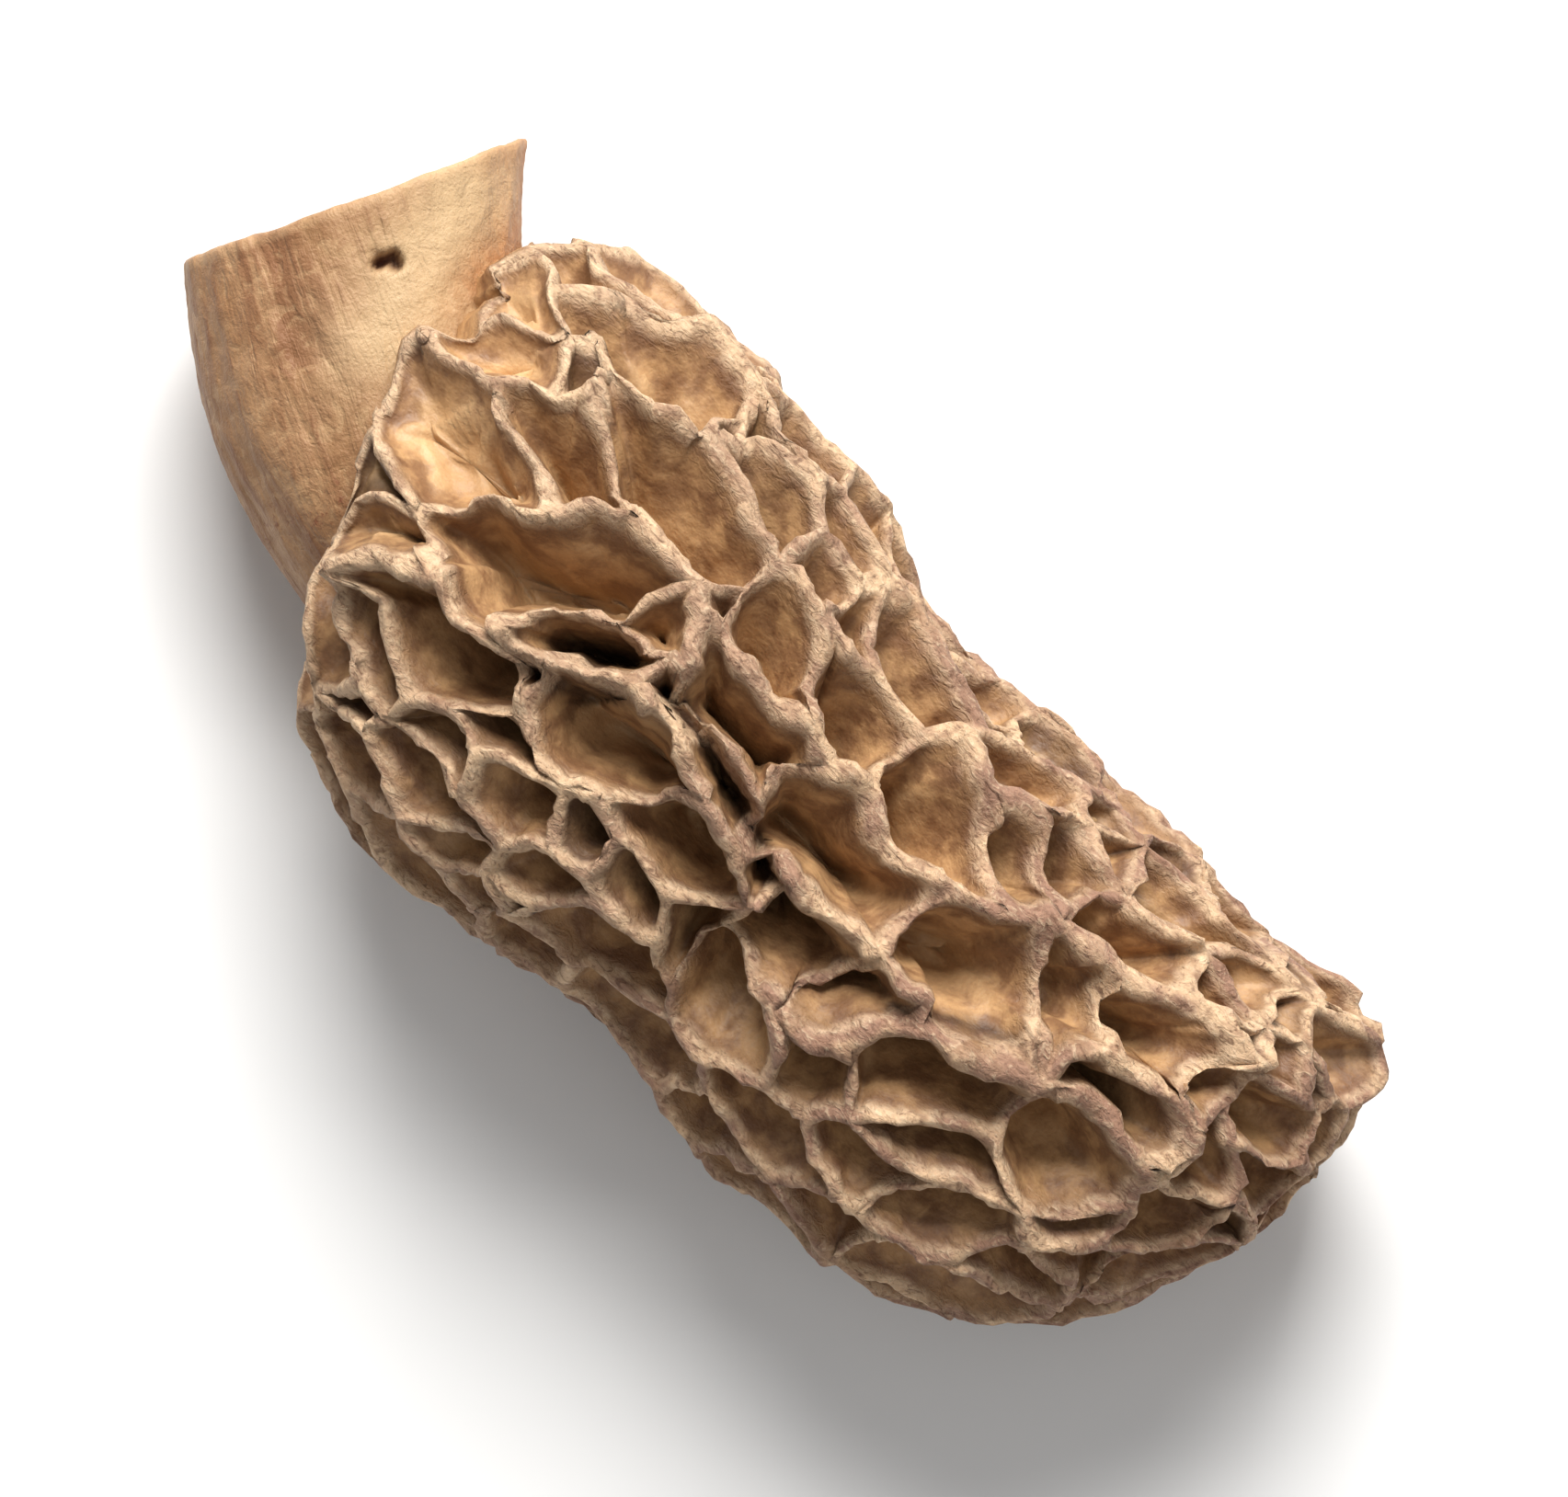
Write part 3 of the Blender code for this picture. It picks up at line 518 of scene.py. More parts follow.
def nearest_on_line(way, line):
    """The point of a pit's middle line that lies nearest to this direction."""
    best = line[0]
    for start, end in zip(line, line[1:]):
        run = end - start
        share = min(1.0, max(0.0, (way - start).dot(run) / run.length_squared))
        point = start + run * share
        if (point - way).length < (best - way).length:
            best = point
    return best.normalized()


def pit_plans(bm, lines):
    """For each pit: its edge, the way from there to its middle, the distance, and its depth."""
    way_of, root = layers(bm, "way", "root")
    pit, cell = bm.faces.layers.int["pit"], bm.faces.layers.int["cell"]
    faces = [face for face in bm.faces if face[pit] < len(lines)]
    parts = Counter(face[pit] for face in faces)
    plans = []
    for number, face in enumerate(faces):
        face[cell] = number
        line = [Vector(way) for way in lines[face[pit]][0]]
        if parts[face[pit]] > 1:
            line = [sum((vert[way_of] for vert in face.verts), Vector()).normalized()]
        edge = np.array([vert[way_of] for vert in face.verts])
        aims = np.array([nearest_on_line(vert[way_of], line) for vert in face.verts])
        corners, points = np.array([vert.co for vert in face.verts]), form(aims)
        run = unit(np.roll(corners, -3, 0) - np.roll(corners, 3, 0))
        gap = points - corners
        reach = np.linalg.norm(gap - run * np.sum(gap * run, 1, keepdims=True), axis=1)
        around = np.linalg.norm(corners - np.roll(corners, 1, 0), axis=1).sum()
        reach = np.maximum(round_ring(reach, REACH_WIDTH, around), LEAST_REACH)
        at_stem = any(near[pit] == len(lines) for vert in face.verts for near in vert.link_faces)
        rim_depth = WIDE_RIM_DEPTH if around > WIDE_AROUND else RIM_DEPTH
        depth = lines[face[pit]][2] * (rim_depth if at_stem else 1)
        roots = [vert[root] for vert in face.verts]
        plans.append({"roots": roots, "column": {number: i for i, number in enumerate(roots)},
                      "edge": edge, "aims": aims, "reach": reach, "around": around,
                      "depth": min(depth, DEPTH_BY_ROOM * around),
                      "narrow": np.clip(1.5 - np.median(reach) / NARROW_REACH, 0, 1)})
    return faces, plans


def shape_ridges(bm):
    """How each point of the ridges leans, and how high, thick and fluted it is."""
    way_of, drop, crest = layers(bm, "way", "drop", "crest")
    rise, points = read(bm, "rise"), points_of(bm)
    tilt = np.column_stack([noises(points, TILT_LENGTH, place_of) for place_of in WAVE_PLACES])
    tilt *= TILT / RADIUS
    height = rise + waves(points, CREST_WAVES, (3, 1, 4))
    thick = 1 + waves(points, THICK_CHANGES, (5, 5, 5)) + LONG_THICK * rise
    thick = np.maximum(thick, LEAST_THICK)
    far = (line_gaps(points, THIN_LINE) - STOUT_FROM) / (STOUT_TO - STOUT_FROM)
    tall, stout = np.zeros(len(points)), STOUT * np.clip(far, 0, 1)
    for line, added, wider in TALL + EDGES:
        near = np.exp(-(line_gaps(points, line) / TALL_REACH) ** 2) * (points[:, 2] > UPPER)
        tall, stout = np.maximum(tall, added * near), np.maximum(stout, wider * near)
    height += tall
    thick *= 1 + stout
    flute = waves(points, FLUTES, (8, 2, 6))
    for i, vert in enumerate(bm.verts):
        vert[way_of] = (vert[way_of] + Vector(tilt[i])).normalized()
        vert[drop], vert[crest] = -height[i], 1.0
    return tilt, height, thick, flute


def sink_pits(bm, faces, plans, shapes):
    """Extrudes every pit's face ring by ring, down to its floor."""
    way_of, root, drop, deep = layers(bm, "way", "root", "drop", "deep")
    crest, slot_shade = layers(bm, "crest", "slot_shade")
    cell = bm.faces.layers.int["cell"]
    for across, share, width in RINGS:
        faces = bmesh.ops.extrude_discrete_faces(bm, faces=faces)["faces"]
        wall = 4 * share * (1 - share)  # 1 halfway down, 0 at the top and the floor
        for face in faces:
            plan = plans[face[cell]]
            tilt, height, thick, flute = (values[plan["roots"]] for values in shapes)
            edge = plan["edge"] + tilt * (1 - share)
            inward = plan["aims"] - edge
            part = across * (thick * (1 - share) + share + flute * wall) / plan["reach"]
            part = part / (1 + part**3) ** (1 / 3)
            ring = round_ring(edge + inward * part[:, None], width, plan["around"])
            length = np.linalg.norm(inward, axis=1)
            way = inward / np.maximum(length, 1e-6)[:, None]
            kept = np.sum((ring - edge) * way, 1)
            ring += way * np.maximum(part * length * KEEP_OFF - kept, 0)[:, None]
            tops = round_ring(height, width, plan["around"])
            drops = plan["depth"] * share - tops * (1 - TOP_FADE * share)
            for vert in face.verts:
                i = plan["column"][vert[root]]
                vert[way_of] = Vector(ring[i]).normalized()
                vert[drop], vert[deep] = drops[i], share
                # The pit's narrowness is kept as the share of painted shade on its flesh.
                vert[crest], vert[slot_shade] = math.exp(-((across / CREST_WIDTH) ** 4)), plan["narrow"]
    for vert in bmesh.ops.poke(bm, faces=faces)["verts"]:
        near = [edge.other_vert(vert) for edge in vert.link_edges]
        vert[way_of] = sum((other[way_of] for other in near), Vector()).normalized()
        vert[drop] = sum(other[drop] for other in near) / len(near)
        vert[deep], vert[crest], vert[slot_shade] = 1.0, 0.0, near[0][slot_shade]


refine_net(cap_net, len(pits))
pit_faces, plans = pit_plans(cap_net, pits)
sink_pits(cap_net, pit_faces, plans, shape_ridges(cap_net))

# Low folds cross some of the pits' floors, and fine wrinkles cover all of the flesh. The points of
# the finished mesh are moved for them.
# Each fold: its line in the photograph's pixels, its height and its half width in mm
FOLDS = (
    (((1084, 350), (1095, 361), (1110, 365), (1124, 360), (1134, 347)), 0.9, 0.6),
    (((1098, 426), (1105, 446), (1114, 468)), 1.5, 0.4),
    (((1176, 312), (1183, 324), (1190, 338), (1196, 352)), 1.9, 0.45),
    (((1212, 352), (1224, 362), (1236, 366)), 1.2, 0.45),
    (((1220, 420), (1240, 430)), 0.9, 0.4),
    (((1292, 518), (1305, 512), (1322, 510)), 0.9, 0.4),
    (((1378, 580), (1376, 608)), 1.0, 0.35),
    (((1352, 570), (1355, 590), (1340, 600)), 1.1, 0.4),
    (((1285, 640), (1340, 640)), 0.9, 0.5),
    (((1288, 610), (1290, 625), (1285, 635)), 1.2, 0.5),
    (((1400, 640), (1415, 665)), 1.2, 0.8),
    (((1325, 500), (1340, 517), (1360, 523), (1377, 525)), 1.8, 0.45),
    (((1338, 492), (1367, 502), (1377, 513), (1394, 522)), 1.8, 0.45),
    (((1355, 489), (1382, 500), (1394, 513), (1401, 530)), 1.8, 0.45),
    (((1385, 543), (1400, 538), (1415, 544), (1430, 558), (1439, 565)), 1.8, 0.45),
    (((1382, 564), (1394, 555), (1415, 567), (1427, 573), (1445, 579), (1454, 583)), 1.8, 0.45),
)
# Deep creases between the ridges: line, depth and half width
CREASES = (
    (((1160, 450), (1175, 453), (1190, 452)), 2.0, 0.55),
    (((1205, 466), (1222, 488), (1234, 508), (1242, 531), (1252, 556)), 2.4, 0.42),
    (((1142, 455), (1170, 470), (1185, 468)), 1.6, 0.38),
    (((1300, 601), (1330, 606), (1360, 618)), 1.0, 0.45),
)
CREASE_WANDER, WANDER_LENGTH = 0.15, 0.8  # how far a crease strays from its line
# Other low folds of the walls and floors: height and length, stretched along the cap, narrow
WILD_FOLDS = ((0.8, 2.6), (0.35, 1.3))
WILD_ALONG, WILD_NARROW = 0.45, 3.6
WRINKLES = ((0.10, 0.95), (0.05, 0.42))  # height and length
CREST_WRINKLES = ((0.16, 0.62), (0.10, 0.36))
GROUND_CLEAR = 0.02  # mm up: what is lower lies flat on the ground


def settle_cap(bm):
    """Raises the floors' folds, then puts every point of the cap in its place."""
    fold_highlight_of = bm.verts.layers.float.new("fold_highlight")
    ways, drops, share = read(bm, "way"), read(bm, "drop"), read(bm, "deep")
    points = form(ways, drops)
    folds = np.zeros(len(points))
    for line, height, width in FOLDS:
        folds = np.maximum(folds, height * np.exp(-(line_gaps(points, line) / width) ** 2))
    upper = (points[:, 2] > UPPER) * 1.0
    folds *= upper * np.clip(share * 3 - 1, 0, 1)
    on_floor = np.clip(share * 2.2 - 0.8, 0, 1)
    for height, length in WILD_FOLDS:
        wild = 1 - np.abs(noises(points * (WILD_ALONG, 1, 1), length, (2, 7, 1))) * WILD_NARROW
        folds = np.maximum(folds, height * np.clip(wild, 0, 1) ** 1.5 * on_floor)
    cuts = np.zeros(len(points))
    for line, depth, width in CREASES:
        gaps = line_gaps(points, line) + CREASE_WANDER * noises(points, WANDER_LENGTH)
        cuts = np.maximum(cuts, depth * np.exp(-(gaps / width) ** 2) * upper)
    points = form(ways, drops + cuts, folds)
    points[:, 2] = np.maximum(points[:, 2], 0)
    # A deep crease gets painted shade too, more the deeper it is, up to the full.
    slot_shade, = layers(bm, "slot_shade")
    # The folds' heights, up to 1, are kept as the share of a painted highlight on them.
    for vert, point, fold_highlight, cut in zip(bm.verts, points, folds, cuts):
        vert.co = point
        vert[fold_highlight_of] = min(1.0, fold_highlight)
        vert[slot_shade] = max(vert[slot_shade], min(1.0, cut))


def wrinkle(bm, sizes, share=1.0):
    """Moves the points along their normals by small random amounts."""
    bm.normal_update()
    moves = share * waves(points_of(bm), sizes, (1, 9, 5))
    for vert, move in zip(bm.verts, moves):
        if vert.co.z > GROUND_CLEAR:
            vert.co += vert.normal * move
            vert.co.z = max(vert.co.z, 0)


settle_cap(cap_net)
wrinkle(cap_net, WRINKLES)
wrinkle(cap_net, CREST_WRINKLES, read(cap_net, "crest"))

# The cap's base: its rim is grown to the stem all round. From the rim the flesh turns in to the
# stem, and inside the stem's wall it goes on as the smooth pale skin of the cap's hollow.
MOUTH = (-6.75, 6.55, 8.0)  # middle of the stem's cut end
STEM_WAY = (0.905, -0.425)  # the way from there into the cap, seen from above
MOUTH_HALF, NECK_HALF = (8.4, 6.8), (7.3, 6.3)  # half width and half height
NECK_MIDDLE = 12.0  # mm from the cut to the neck
NECK_LIFT = 0.8
BOW, BOW_LENGTH = -2.2, 20.0
STEM_WALL = 1.3
HOLLOW_FIRST, HOLLOW_LAST, HOLLOW_RINGS = 0.75, 2.9, 18
COLLAR = ((0.10, -0.15), (0.28, -0.1), (0.5, 0.15), (0.75, 0.3), (1.0, 0.25))  # share in, mm along
FOOT_BACK, FOOT_IN = 0.3, 0.25  # where the collar meets the stem's skin
INNER_WALL = ((0.8, 0.6), (2.4, 0.9))  # mm further along the stem, and mm in from its skin


def stem_bow(along):
    """How far the stem's middle lies aside at this distance from the mouth."""
    return BOW * math.sin(math.pi * min(1.0, max(0.0, along / BOW_LENGTH)))


def stem_point(along, round_it, inwards=0.0):
    """A point of the stem, by its distance from the mouth and its place round the stem."""
    share = min(1.0, max(0.0, along / NECK_MIDDLE))
    half_width = MOUTH_HALF[0] + (NECK_HALF[0] - MOUTH_HALF[0]) * share - inwards
    half_height = MOUTH_HALF[1] + (NECK_HALF[1] - MOUTH_HALF[1]) * share - inwards
    side = stem_bow(along) + half_width * math.cos(round_it)
    return Vector((MOUTH[0] + STEM_WAY[0] * along - STEM_WAY[1] * side,
                   MOUTH[1] + STEM_WAY[1] * along + STEM_WAY[0] * side,
                   MOUTH[2] + NECK_LIFT * share + half_height * math.sin(round_it)))


def close_base(bm, pits_in_all):
    """Turns the rim in to the stem's wall, and lines the hollow behind it."""
    hollow_of = bm.verts.layers.float.new("hollow")
    way_of, deep, crest, slot_shade = layers(bm, "way", "deep", "crest", "slot_shade")
    pit = bm.faces.layers.int["pit"]
    end = next(face for face in bm.faces if face[pit] == pits_in_all)
    rims = [vert.co.copy() for vert in end.verts]
    spots = []
    for vert in end.verts:
        x, y = vert.co.x - MOUTH[0], vert.co.y - MOUTH[1]
        along = x * STEM_WAY[0] + y * STEM_WAY[1]
        side = x * -STEM_WAY[1] + y * STEM_WAY[0] - stem_bow(along)
        up = vert.co.z - MOUTH[2] - NECK_LIFT
        round_it = math.atan2(up / NECK_HALF[1], side / NECK_HALF[0])
        spots.append((along, round_it, math.atan2(vert[way_of].z, vert[way_of].y)))

    def ring(points, depth, inside):
        nonlocal end
        end = bmesh.ops.extrude_discrete_faces(bm, faces=[end])["faces"][0]
        for vert, point in zip(end.verts, points):
            vert.co = point
            vert[deep], vert[crest], vert[slot_shade], vert[hollow_of] = depth, 0.0, 0.0, inside

    feet = [stem_point(along - FOOT_BACK, round_it, FOOT_IN) for along, round_it, _ in spots]
    for share, shift in COLLAR:
        push = Vector((STEM_WAY[0], STEM_WAY[1], 0)) * shift
        ring([rim.lerp(foot, share) + push for rim, foot in zip(rims, feet)], share, 0.0)
    for shift, inwards in INNER_WALL:
        ring([stem_point(along + shift, round_it, inwards) for along, round_it, _ in spots], 1.0, 1.0)
    for polar in np.linspace(HOLLOW_FIRST, HOLLOW_LAST, HOLLOW_RINGS):
        ring([Vector(hollow(polar, cap_round)) for _, _, cap_round in spots], 1.0, 1.0)
    middle = bmesh.ops.poke(bm, faces=[end])["verts"][0]
    middle[deep], middle[hollow_of] = 1.0, 1.0


close_base(cap_net, len(pits))
scene = bpy.context.scene


def finish_mesh(bm, name, material):
    """Makes the mesh an object in metres, in the place of the CAD solid."""
    bmesh.ops.translate(bm, verts=bm.verts, vec=(-MIDDLE[0], -MIDDLE[1], 0))
    bmesh.ops.scale(bm, verts=bm.verts, vec=(MM, MM, MM))
    mesh = bpy.data.meshes.new(name)
    bm.to_mesh(mesh)
    bm.free()
    mesh.shade_smooth()
    mesh.materials.append(material)
    piece = bpy.data.objects.new(name, mesh)
    scene.collection.objects.link(piece)
    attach(piece, "root")
    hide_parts("morel")


class Nodes:
    """A material's nodes, laid and linked by short calls."""

    def __init__(self, name):
        self.material = bpy.data.materials.new(name)
        self.material.use_nodes = True
        self.tree = self.material.node_tree
        self.shader = self.tree.nodes["Principled BSDF"]
        scaled = self.node("VectorMath")
        scaled.operation = "SCALE"
        self.fill(scaled, {0: self.node("TexCoord").outputs["Object"], "Scale": 1 / MM})
        self.mm = scaled.outputs[0]

    def node(self, kind, inputs=None):
        node = self.tree.nodes.new("ShaderNode" + kind)
        self.fill(node, inputs or {})
        return node

    def fill(self, node, inputs):
        """Puts a value on each of these inputs, or links it to another node's output."""
        for name, value in inputs.items():
            if isinstance(value, bpy.types.NodeSocket):
                self.tree.links.new(value, node.inputs[name])
            else:
                node.inputs[name].default_value = value

    def math(self, operation, a, b):
        node = self.node("Math", {0: a, 1: b})
        node.operation = operation
        return node.outputs[0]

    def attribute(self, name):
        node = self.node("Attribute")
        node.attribute_name = name
        return node.outputs["Fac"]

    def noise(self, length, detail=3.0, vector=None, distortion=0.0, roughness=0.55):
        """Smooth noise that changes over this length in mm."""
        return self.node("TexNoise", {
            "Vector": vector or self.mm, "Scale": 1 / length, "Detail": detail,
            "Roughness": roughness, "Distortion": distortion}).outputs["Fac"]

    def stretched(self, vector, along):
        """Places for a noise that changes more slowly along x."""
        return self.node("Mapping", {"Vector": vector, "Scale": (along, 1, 1)}).outputs["Vector"]

    def ramp(self, value, low, high):
        """From 0 at the low value to 1 at the high one."""
        node = self.node("MapRange", {"Value": value, "From Min": low, "From Max": high})
        node.interpolation_type = "SMOOTHSTEP"
        return node.outputs["Result"]

    def mix(self, share, a, b, blend="MIX"):
        node = self.node("Mix")
        node.data_type, node.blend_type = "RGBA", blend
        self.fill(node, {"Factor": share, "A": a, "B": b})
        return node.outputs["Result"]

    def tint(self, colour, *tints):
        """Lays tints over a colour: where each lies, how strong it is, and its own colour."""
        for where, strength, *added in tints:
            colour = self.mix(self.math("MULTIPLY", where, strength), colour, rgb(*added))
        return colour

    def bump(self, height, distance, normal=None, strength=1.0):
        node = self.node("Bump", {"Distance": distance * MM, "Strength": strength, "Height": height})
        if normal is not None:
            self.fill(node, {"Normal": normal})
        return node.outputs["Normal"]

    def flesh(self, colour, rough, normal, shine, glow, glow_depth, glow_colour):
        """The material of flesh that lets a little light in, this many mm deep."""
        self.fill(self.shader, {
            "Base Color": colour, "Roughness": rough, "Normal": normal,
            "Specular IOR Level": shine, "Subsurface Weight": glow,
            "Subsurface Scale": glow_depth * MM, "Subsurface Radius": glow_colour})
        return self.material


def rgb(red, green, blue):
    """A colour as it looks on a screen, from 0 to 255, for a socket."""
    return tuple(((part / 255 + 0.055) / 1.055) ** 2.4 for part in (red, green, blue)) + (1.0,)


def cap_flesh():
    """Dried flesh: greyish tan blades with dark and pale flecks, brown walls and golden floors."""
    n = Nodes("cap_flesh")
    deep, crest, slot_shade, fold_highlight, inside = map(n.attribute, ("deep", "crest", "slot_shade", "fold_highlight", "hollow"))
    blotch, patch = n.noise(4.5, 2.0), n.noise(3.0, 2.0)
    cloud = n.noise(1.5, 3.0, distortion=0.3)
    crinkle = n.noise(0.36, 5.0, n.stretched(n.mm, 0.45), distortion=1.0, roughness=0.6)
    fleck = n.noise(0.42, 5.0, roughness=0.7, distortion=0.6)
    grain = n.noise(0.18, 4.0, roughness=0.7)
    pale_end = n.ramp(n.node("SeparateXYZ", {0: n.mm}).outputs["X"], 12.0, -20.0)
    # Painted highlight: pale bands along both edges of each blade's top.
    edge = n.math("MULTIPLY", n.ramp(crest, 0.95, 0.7), n.ramp(crest, 0.25, 0.5))
    blade = n.tint(n.mix(n.ramp(patch, 0.42, 0.6), rgb(146, 114, 97), rgb(202, 172, 142)),
                   (edge, 0.5, 206, 180, 152),
                   (pale_end, 0.7, 194, 167, 139),
                   (n.ramp(cloud, 0.5, 0.66), 0.6, 122, 90, 74),
                   (n.ramp(crinkle, 0.52, 0.66), 0.45, 216, 194, 167),
                   (n.ramp(crinkle, 0.47, 0.32), 0.7, 100, 71, 54),
                   (n.ramp(fleck, 0.44, 0.32), 0.5, 82, 56, 42))
    wall = n.mix(n.ramp(cloud, 0.35, 0.65), rgb(124, 92, 65), rgb(174, 139, 101))
    floor = n.tint(n.mix(n.ramp(blotch, 0.4, 0.62), rgb(162, 126, 88), rgb(198, 163, 122)),
                   (n.ramp(cloud, 0.45, 0.8), 0.3, 134, 96, 61))
    share = n.math("ADD", deep, n.math("MULTIPLY", n.math("SUBTRACT", cloud, 0.5), 0.2))
    pit = n.tint(n.mix(n.ramp(share, 0.5, 0.95), wall, floor),
                 # Painted shade: the upper walls, just under the blades' tops, are darkened.
                 (n.ramp(share, 0.35, 0.12), 0.42, 92, 62, 44),
                 # Painted shade: narrow pits and deep creases are darkened to a near-black brown.
                 (slot_shade, 0.75, 44, 28, 18),
                 # Painted highlight: the raised folds are painted paler.
                 (fold_highlight, 0.55, 200, 167, 128))
    colour = n.mix(n.ramp(share, 0.015, 0.16), blade, pit)
    colour = n.mix(inside, colour, rgb(206, 176, 130))
    colour = n.mix(0.45, colour, n.mix(grain, rgb(96, 70, 50), rgb(255, 240, 215)), "SOFT_LIGHT")
    rough = n.math("ADD", n.math("MULTIPLY", grain, 0.18), n.math("MULTIPLY", crest, 0.18))
    rough_top = n.math("ADD", n.math("MULTIPLY", n.ramp(deep, 0.3, 0.05), 0.85), 0.15)
    fine = n.bump(grain, 0.05, strength=rough_top)
    fine = n.bump(crinkle, 0.26, fine, strength=rough_top)
    return n.flesh(colour, n.math("ADD", rough, 0.42), n.bump(n.noise(0.9, 3.0), 0.14, fine),
                   shine=0.4, glow=0.05, glow_depth=0.5, glow_colour=(1.0, 0.55, 0.3))


finish_mesh(cap_net, "cap", cap_flesh())

# The stem: a short hollow tube of the same flesh, cut straight off at its mouth. It dried with
# long shallow furrows, and its wall shows at the cut.
STEM_ROUND, STEM_RINGS, INNER_RINGS = 260, 80, 40  # points round it, and rings outside and inside
STEM_FIRST, STEM_INNER, STEM_SLANT = 0.6, 14.5, 3.0  # where the rings end, in mm from the cut
FURROWS = ((0.34, 1.5, 0.05), (0.16, 4.2, 0.16), (0.05, 10.0, 0.5))  # height, times round, per mm
STEM_WRINKLES = ((0.07, 1.4), (0.04, 0.5))
# Marks on the stem: line in the photograph's pixels, half width, depth, and how sharp its edge is
# The first mark is a small hole: it is sunk, and painted dark inside as painted shade.
STEM_MARKS = (("dark", ((1087, 290), (1091, 288), (1093, 291)), 0.36, 1.2, 4),
              ("cream", ((1122, 262), (1104, 290), (1092, 325)), 2.6, 0.0, 2),
              ("speckled", ((1048, 400), (1078, 395)), 1.8, 0.0, 2),
              ("orange", ((1144, 243), (1141, 282), (1112, 305)), 1.1, 0.0, 2),
              ("streaked", ((1041, 278), (1047, 300), (1053, 328)), 0.9, 0.35, 2))
MARK_WANDER, MARK_LENGTH = 0.7, 1.4  # shares of its half width
MOUTH_DIP, MOUTH_WAVE, MOUTH_REACH = 0.25, 0.12, 4.0  # how uneven the cut is, and how far in
# The cut edge: mm from the cut's plane, and mm in from the outer skin
CUT = ((0.35, 0.0), (0.12, 0.02), (0.0, 0.12), (-0.04, 0.3), (0.0, 0.62), (-0.03, 0.95),
       (0.06, 1.15), (0.3, 1.28))


def inner_end(turn):
    """How far from the mouth the stem ends inside the cap: further on one side."""
    return STEM_INNER - STEM_SLANT * math.cos(turn)


def stem_ring(bm, end, along, inwards, rough, cut_highlight_share=0.0):
    """Extrudes the stem's open end to its next ring."""
    end = bmesh.ops.extrude_discrete_faces(bm, faces=[end])["faces"][0]
    round_of, cut_highlight_of = layers(bm, "round", "cut")
    for vert in end.verts:
        turn = vert[round_of]
        # The cut's lip is marked, for a painted highlight that makes it paler.
        vert[cut_highlight_of] = cut_highlight_share
        x, y = math.cos(turn), math.sin(turn)
        dip = MOUTH_DIP * y**2 + MOUTH_WAVE * noise.noise(Vector((x, y, 0)) * 3)
        slant = 1 + (inner_end(turn) / STEM_INNER - 1) * min(1, along / STEM_INNER)
        at = (along + dip * max(0.0, 1 - along / MOUTH_REACH)) * slant
        folds = sum(size * noise.noise(Vector((x * times, y * times, at * per_mm)))
                    for size, times, per_mm in FURROWS)
        vert.co = stem_point(at, turn, inwards - folds * rough)
    return end


def stem_mesh():
    """The stem's outer skin from its inner end to the mouth, over the cut, and back inside."""
    bm = bmesh.new()
    bm.verts.layers.float.new("cut")
    round_of = bm.verts.layers.float.new("round")
    made = bmesh.ops.create_circle(bm, segments=STEM_ROUND, radius=1.0, cap_ends=True)
    for vert in made["verts"]:
        vert[round_of] = math.atan2(vert.co.y, vert.co.x)
    end = made["verts"][0].link_faces[0]
    for vert in end.verts:
        vert.co = stem_point(inner_end(vert[round_of]), vert[round_of])
    outer = end.edges[:]
    for along in np.linspace(STEM_INNER, STEM_FIRST, STEM_RINGS)[1:]:
        end = stem_ring(bm, end, along, 0.0, 1.0)
    for along, inwards in CUT:
        end = stem_ring(bm, end, along, inwards, max(0.3, 1 - inwards), 1.0)
    for along in np.linspace(STEM_FIRST, STEM_INNER, INNER_RINGS)[1:]:
        end = stem_ring(bm, end, along, STEM_WALL, 0.5)
    inner = end.edges[:]
    old = [face for face in bm.faces if len(face.verts) > 4]
    bmesh.ops.delete(bm, geom=old, context="FACES_ONLY")
    bmesh.ops.bridge_loops(bm, edges=outer + inner)
    bmesh.ops.recalc_face_normals(bm, faces=bm.faces)
    return bm


stem_bm = stem_mesh()
wrinkle(stem_bm, STEM_WRINKLES)
for name, line, half, sunk, sharp in STEM_MARKS:
    points = points_of(stem_bm)
    gaps = line_gaps(points, line) + MARK_WANDER * half * noises(points, half * MARK_LENGTH)
    mark = stem_bm.verts.layers.float.new(name)
    for vert, gap in zip(stem_bm.verts, gaps):
        if vert.co.z > UPPER and vert.normal.z > 0:
            vert[mark] = math.exp(-((gap / half) ** sharp))
            vert.co.z -= sunk * vert[mark]


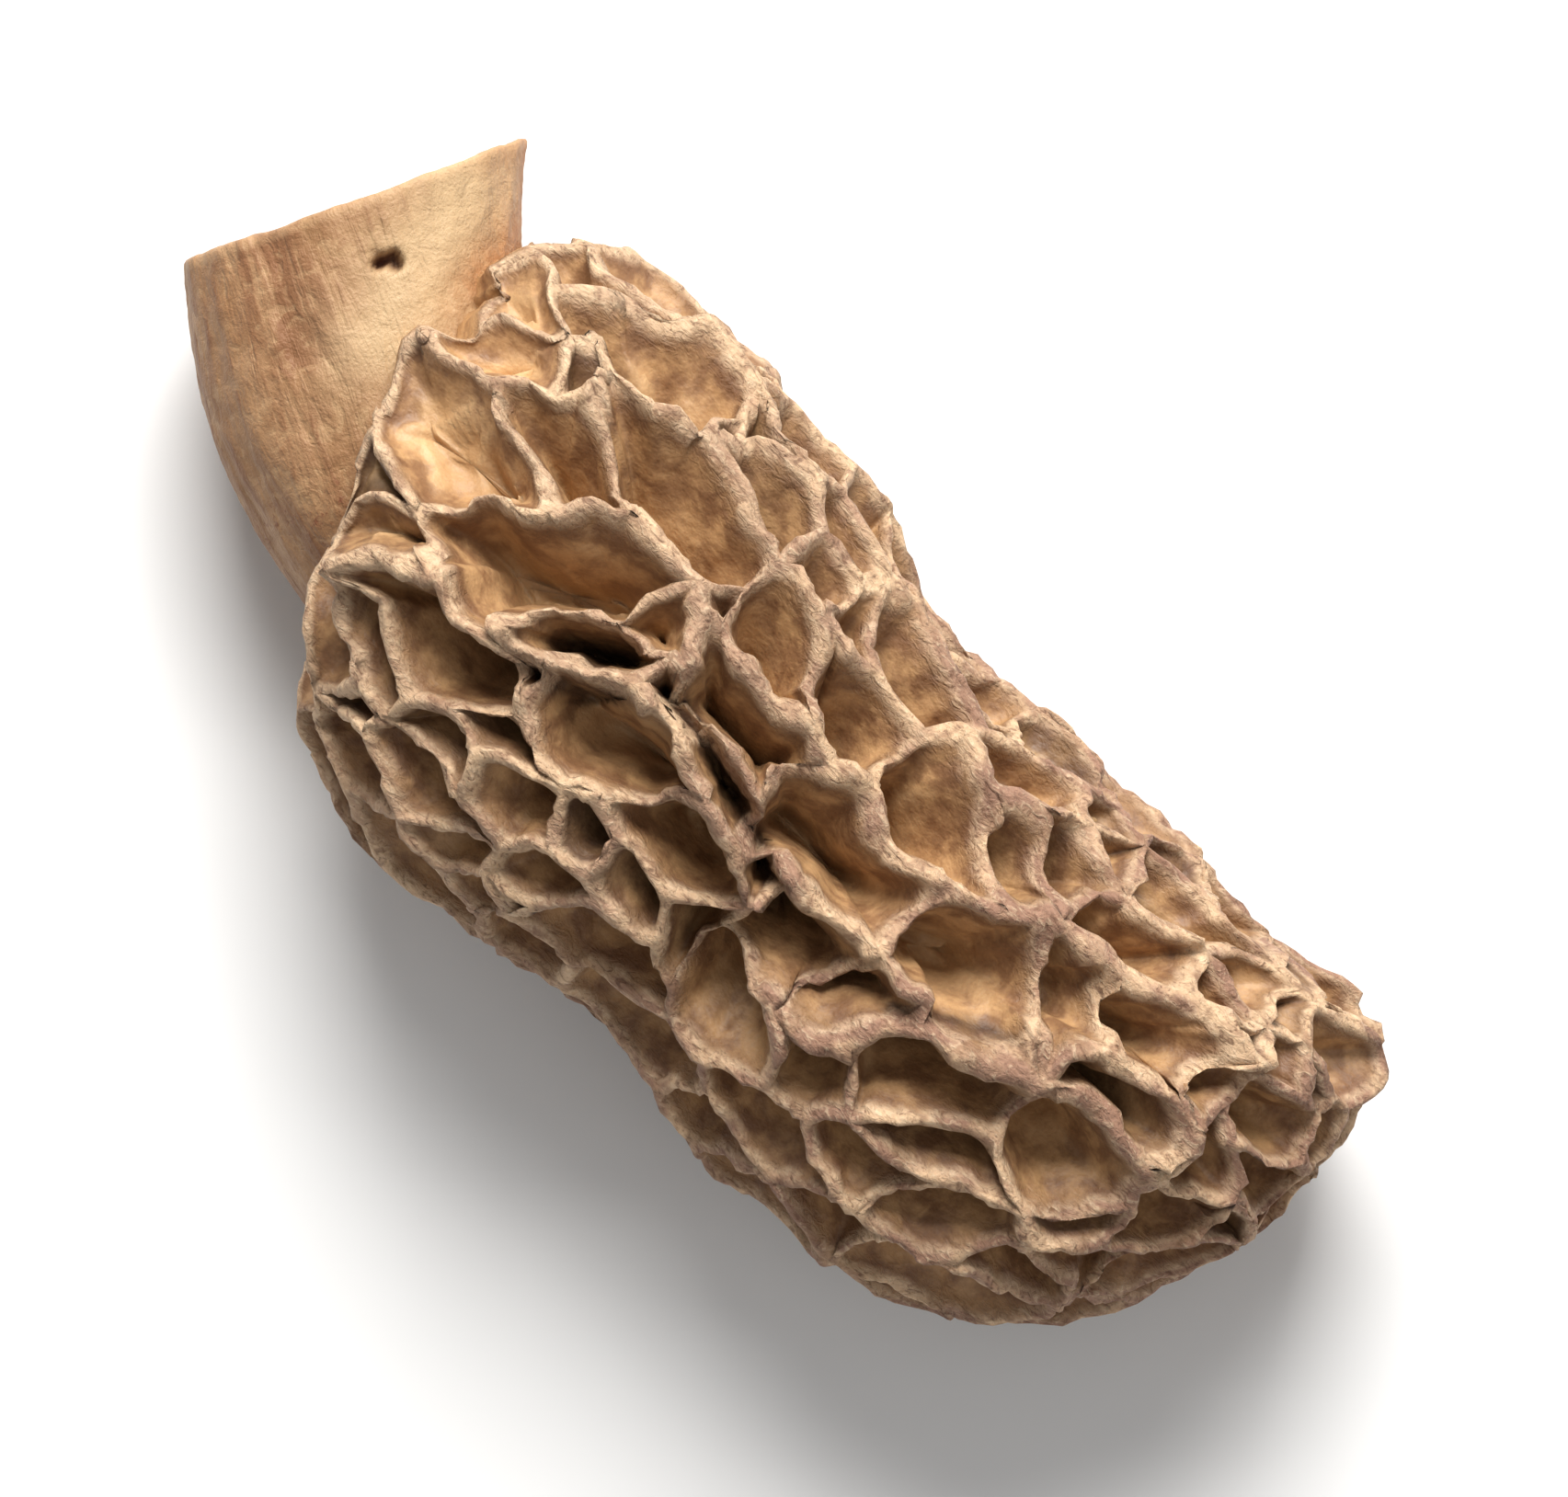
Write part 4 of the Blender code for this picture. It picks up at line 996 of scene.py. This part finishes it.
def stem_flesh():
    """Dried stem flesh: tan like bare wood, with long brown streaks and a cream patch."""
    n = Nodes("stem_flesh")
    turned = n.node("Mapping", {"Vector": n.mm,
                                "Rotation": (0, 0, -math.atan2(STEM_WAY[1], STEM_WAY[0]))})
    along = n.stretched(turned.outputs["Vector"], 0.15)
    streak = n.noise(1.0, 4.0, along, distortion=0.8)
    fine = n.noise(0.32, 4.0, along, distortion=0.9)
    mottle = n.noise(0.9, 4.0, roughness=0.62, distortion=0.6)
    blotch = n.noise(5.0, 3.0)
    speck = n.noise(0.4, 3.0, roughness=0.7)
    grain = n.noise(0.16, 3.0)
    streaks = n.math("ADD", streak, n.math("MULTIPLY", n.attribute("streaked"), 0.28))
    near_rim = n.math("MULTIPLY", n.ramp(speck, 0.56, 0.68), n.attribute("speckled"))
    colour = n.tint(n.mix(n.ramp(blotch, 0.4, 0.62), rgb(144, 106, 71), rgb(158, 121, 86)),
                    (n.ramp(streaks, 0.46, 0.72), 0.75, 118, 74, 45),
                    (n.attribute("orange"), 0.7, 168, 108, 62),
                    (n.ramp(fine, 0.52, 0.68), 0.3, 122, 80, 51),
                    (n.ramp(mottle, 0.52, 0.66), 0.4, 122, 82, 52),
                    (n.ramp(mottle, 0.47, 0.34), 0.35, 186, 152, 112),
                    (n.attribute("cream"), 0.85, 188, 160, 122),
                    # Painted highlight: the cut's lip is painted paler.
                    (n.attribute("cut"), 0.2, 206, 172, 130),
                    (near_rim, 0.8, 112, 62, 40),
                    (n.ramp(grain, 0.62, 0.72), 0.35, 132, 92, 60),
                    # Painted shade: the small hole's inside is painted dark.
                    (n.attribute("dark"), 1.0, 92, 50, 30))
    rough = n.bump(mottle, 0.12, n.bump(fine, 0.04, n.bump(grain, 0.05)))
    return n.flesh(colour, n.math("ADD", n.math("MULTIPLY", streak, 0.2), 0.46),
                   n.bump(streak, 0.2, rough),
                   shine=0.35, glow=0.06, glow_depth=0.6, glow_colour=(1.0, 0.6, 0.35))


finish_mesh(stem_bm, "stem", stem_flesh())

# A plain pale floor, soft light from the top of the picture, and a camera that looks straight
# down, turned so that the mushroom lies as in the photograph.
bpy.ops.mesh.primitive_plane_add(size=1.6)
floor = bpy.context.object
floor.name = "floor"
paper = Nodes("paper")
paper.fill(paper.shader, {"Base Color": (0.80, 0.80, 0.80, 1), "Roughness": 0.8})
floor.data.materials.append(paper.material)

world = bpy.data.worlds.new("studio")
world.use_nodes = True
sky = world.node_tree.nodes["Background"].inputs
sky["Color"].default_value = (1.0, 1.0, 1.0, 1)
sky["Strength"].default_value = 0.34
scene.world = world
scene.view_settings.view_transform = "Standard"


def lamp(name, place_at, size, power):
    light = bpy.data.lights.new(name, "AREA")
    light.size, light.energy = size, power
    light.color = (1.0, 0.985, 0.96)
    lamp_object = bpy.data.objects.new(name, light)
    lamp_object.location = place_at
    lamp_object.rotation_euler = (-Vector(place_at)).to_track_quat("-Z", "Y").to_euler()
    scene.collection.objects.link(lamp_object)


# The right and the top of the picture, as directions on the floor
RIGHT, UP = Vector((1, 1, 0)).normalized(), Vector((-1, 1, 0)).normalized()
lamp("key", UP * 0.375 + RIGHT * 0.03 + Vector((0, 0, 0.34)), 0.3, 5.5)
lamp("fill", -UP * 0.3 + RIGHT * 0.25 + Vector((0, 0, 0.35)), 0.5, 0.5)

camera = bpy.data.cameras.new("camera")
camera.lens, camera.sensor_width = 447, 36
camera_object = bpy.data.objects.new("camera", camera)
camera_object.location = RIGHT * 0.003 + UP * 0.0005 + Vector((0, 0, 0.9))
camera_object.rotation_euler = (0, 0, math.atan2(RIGHT.y, RIGHT.x))
camera.clip_start, camera.clip_end = 0.01, 10
scene.collection.objects.link(camera_object)
scene.camera = camera_object
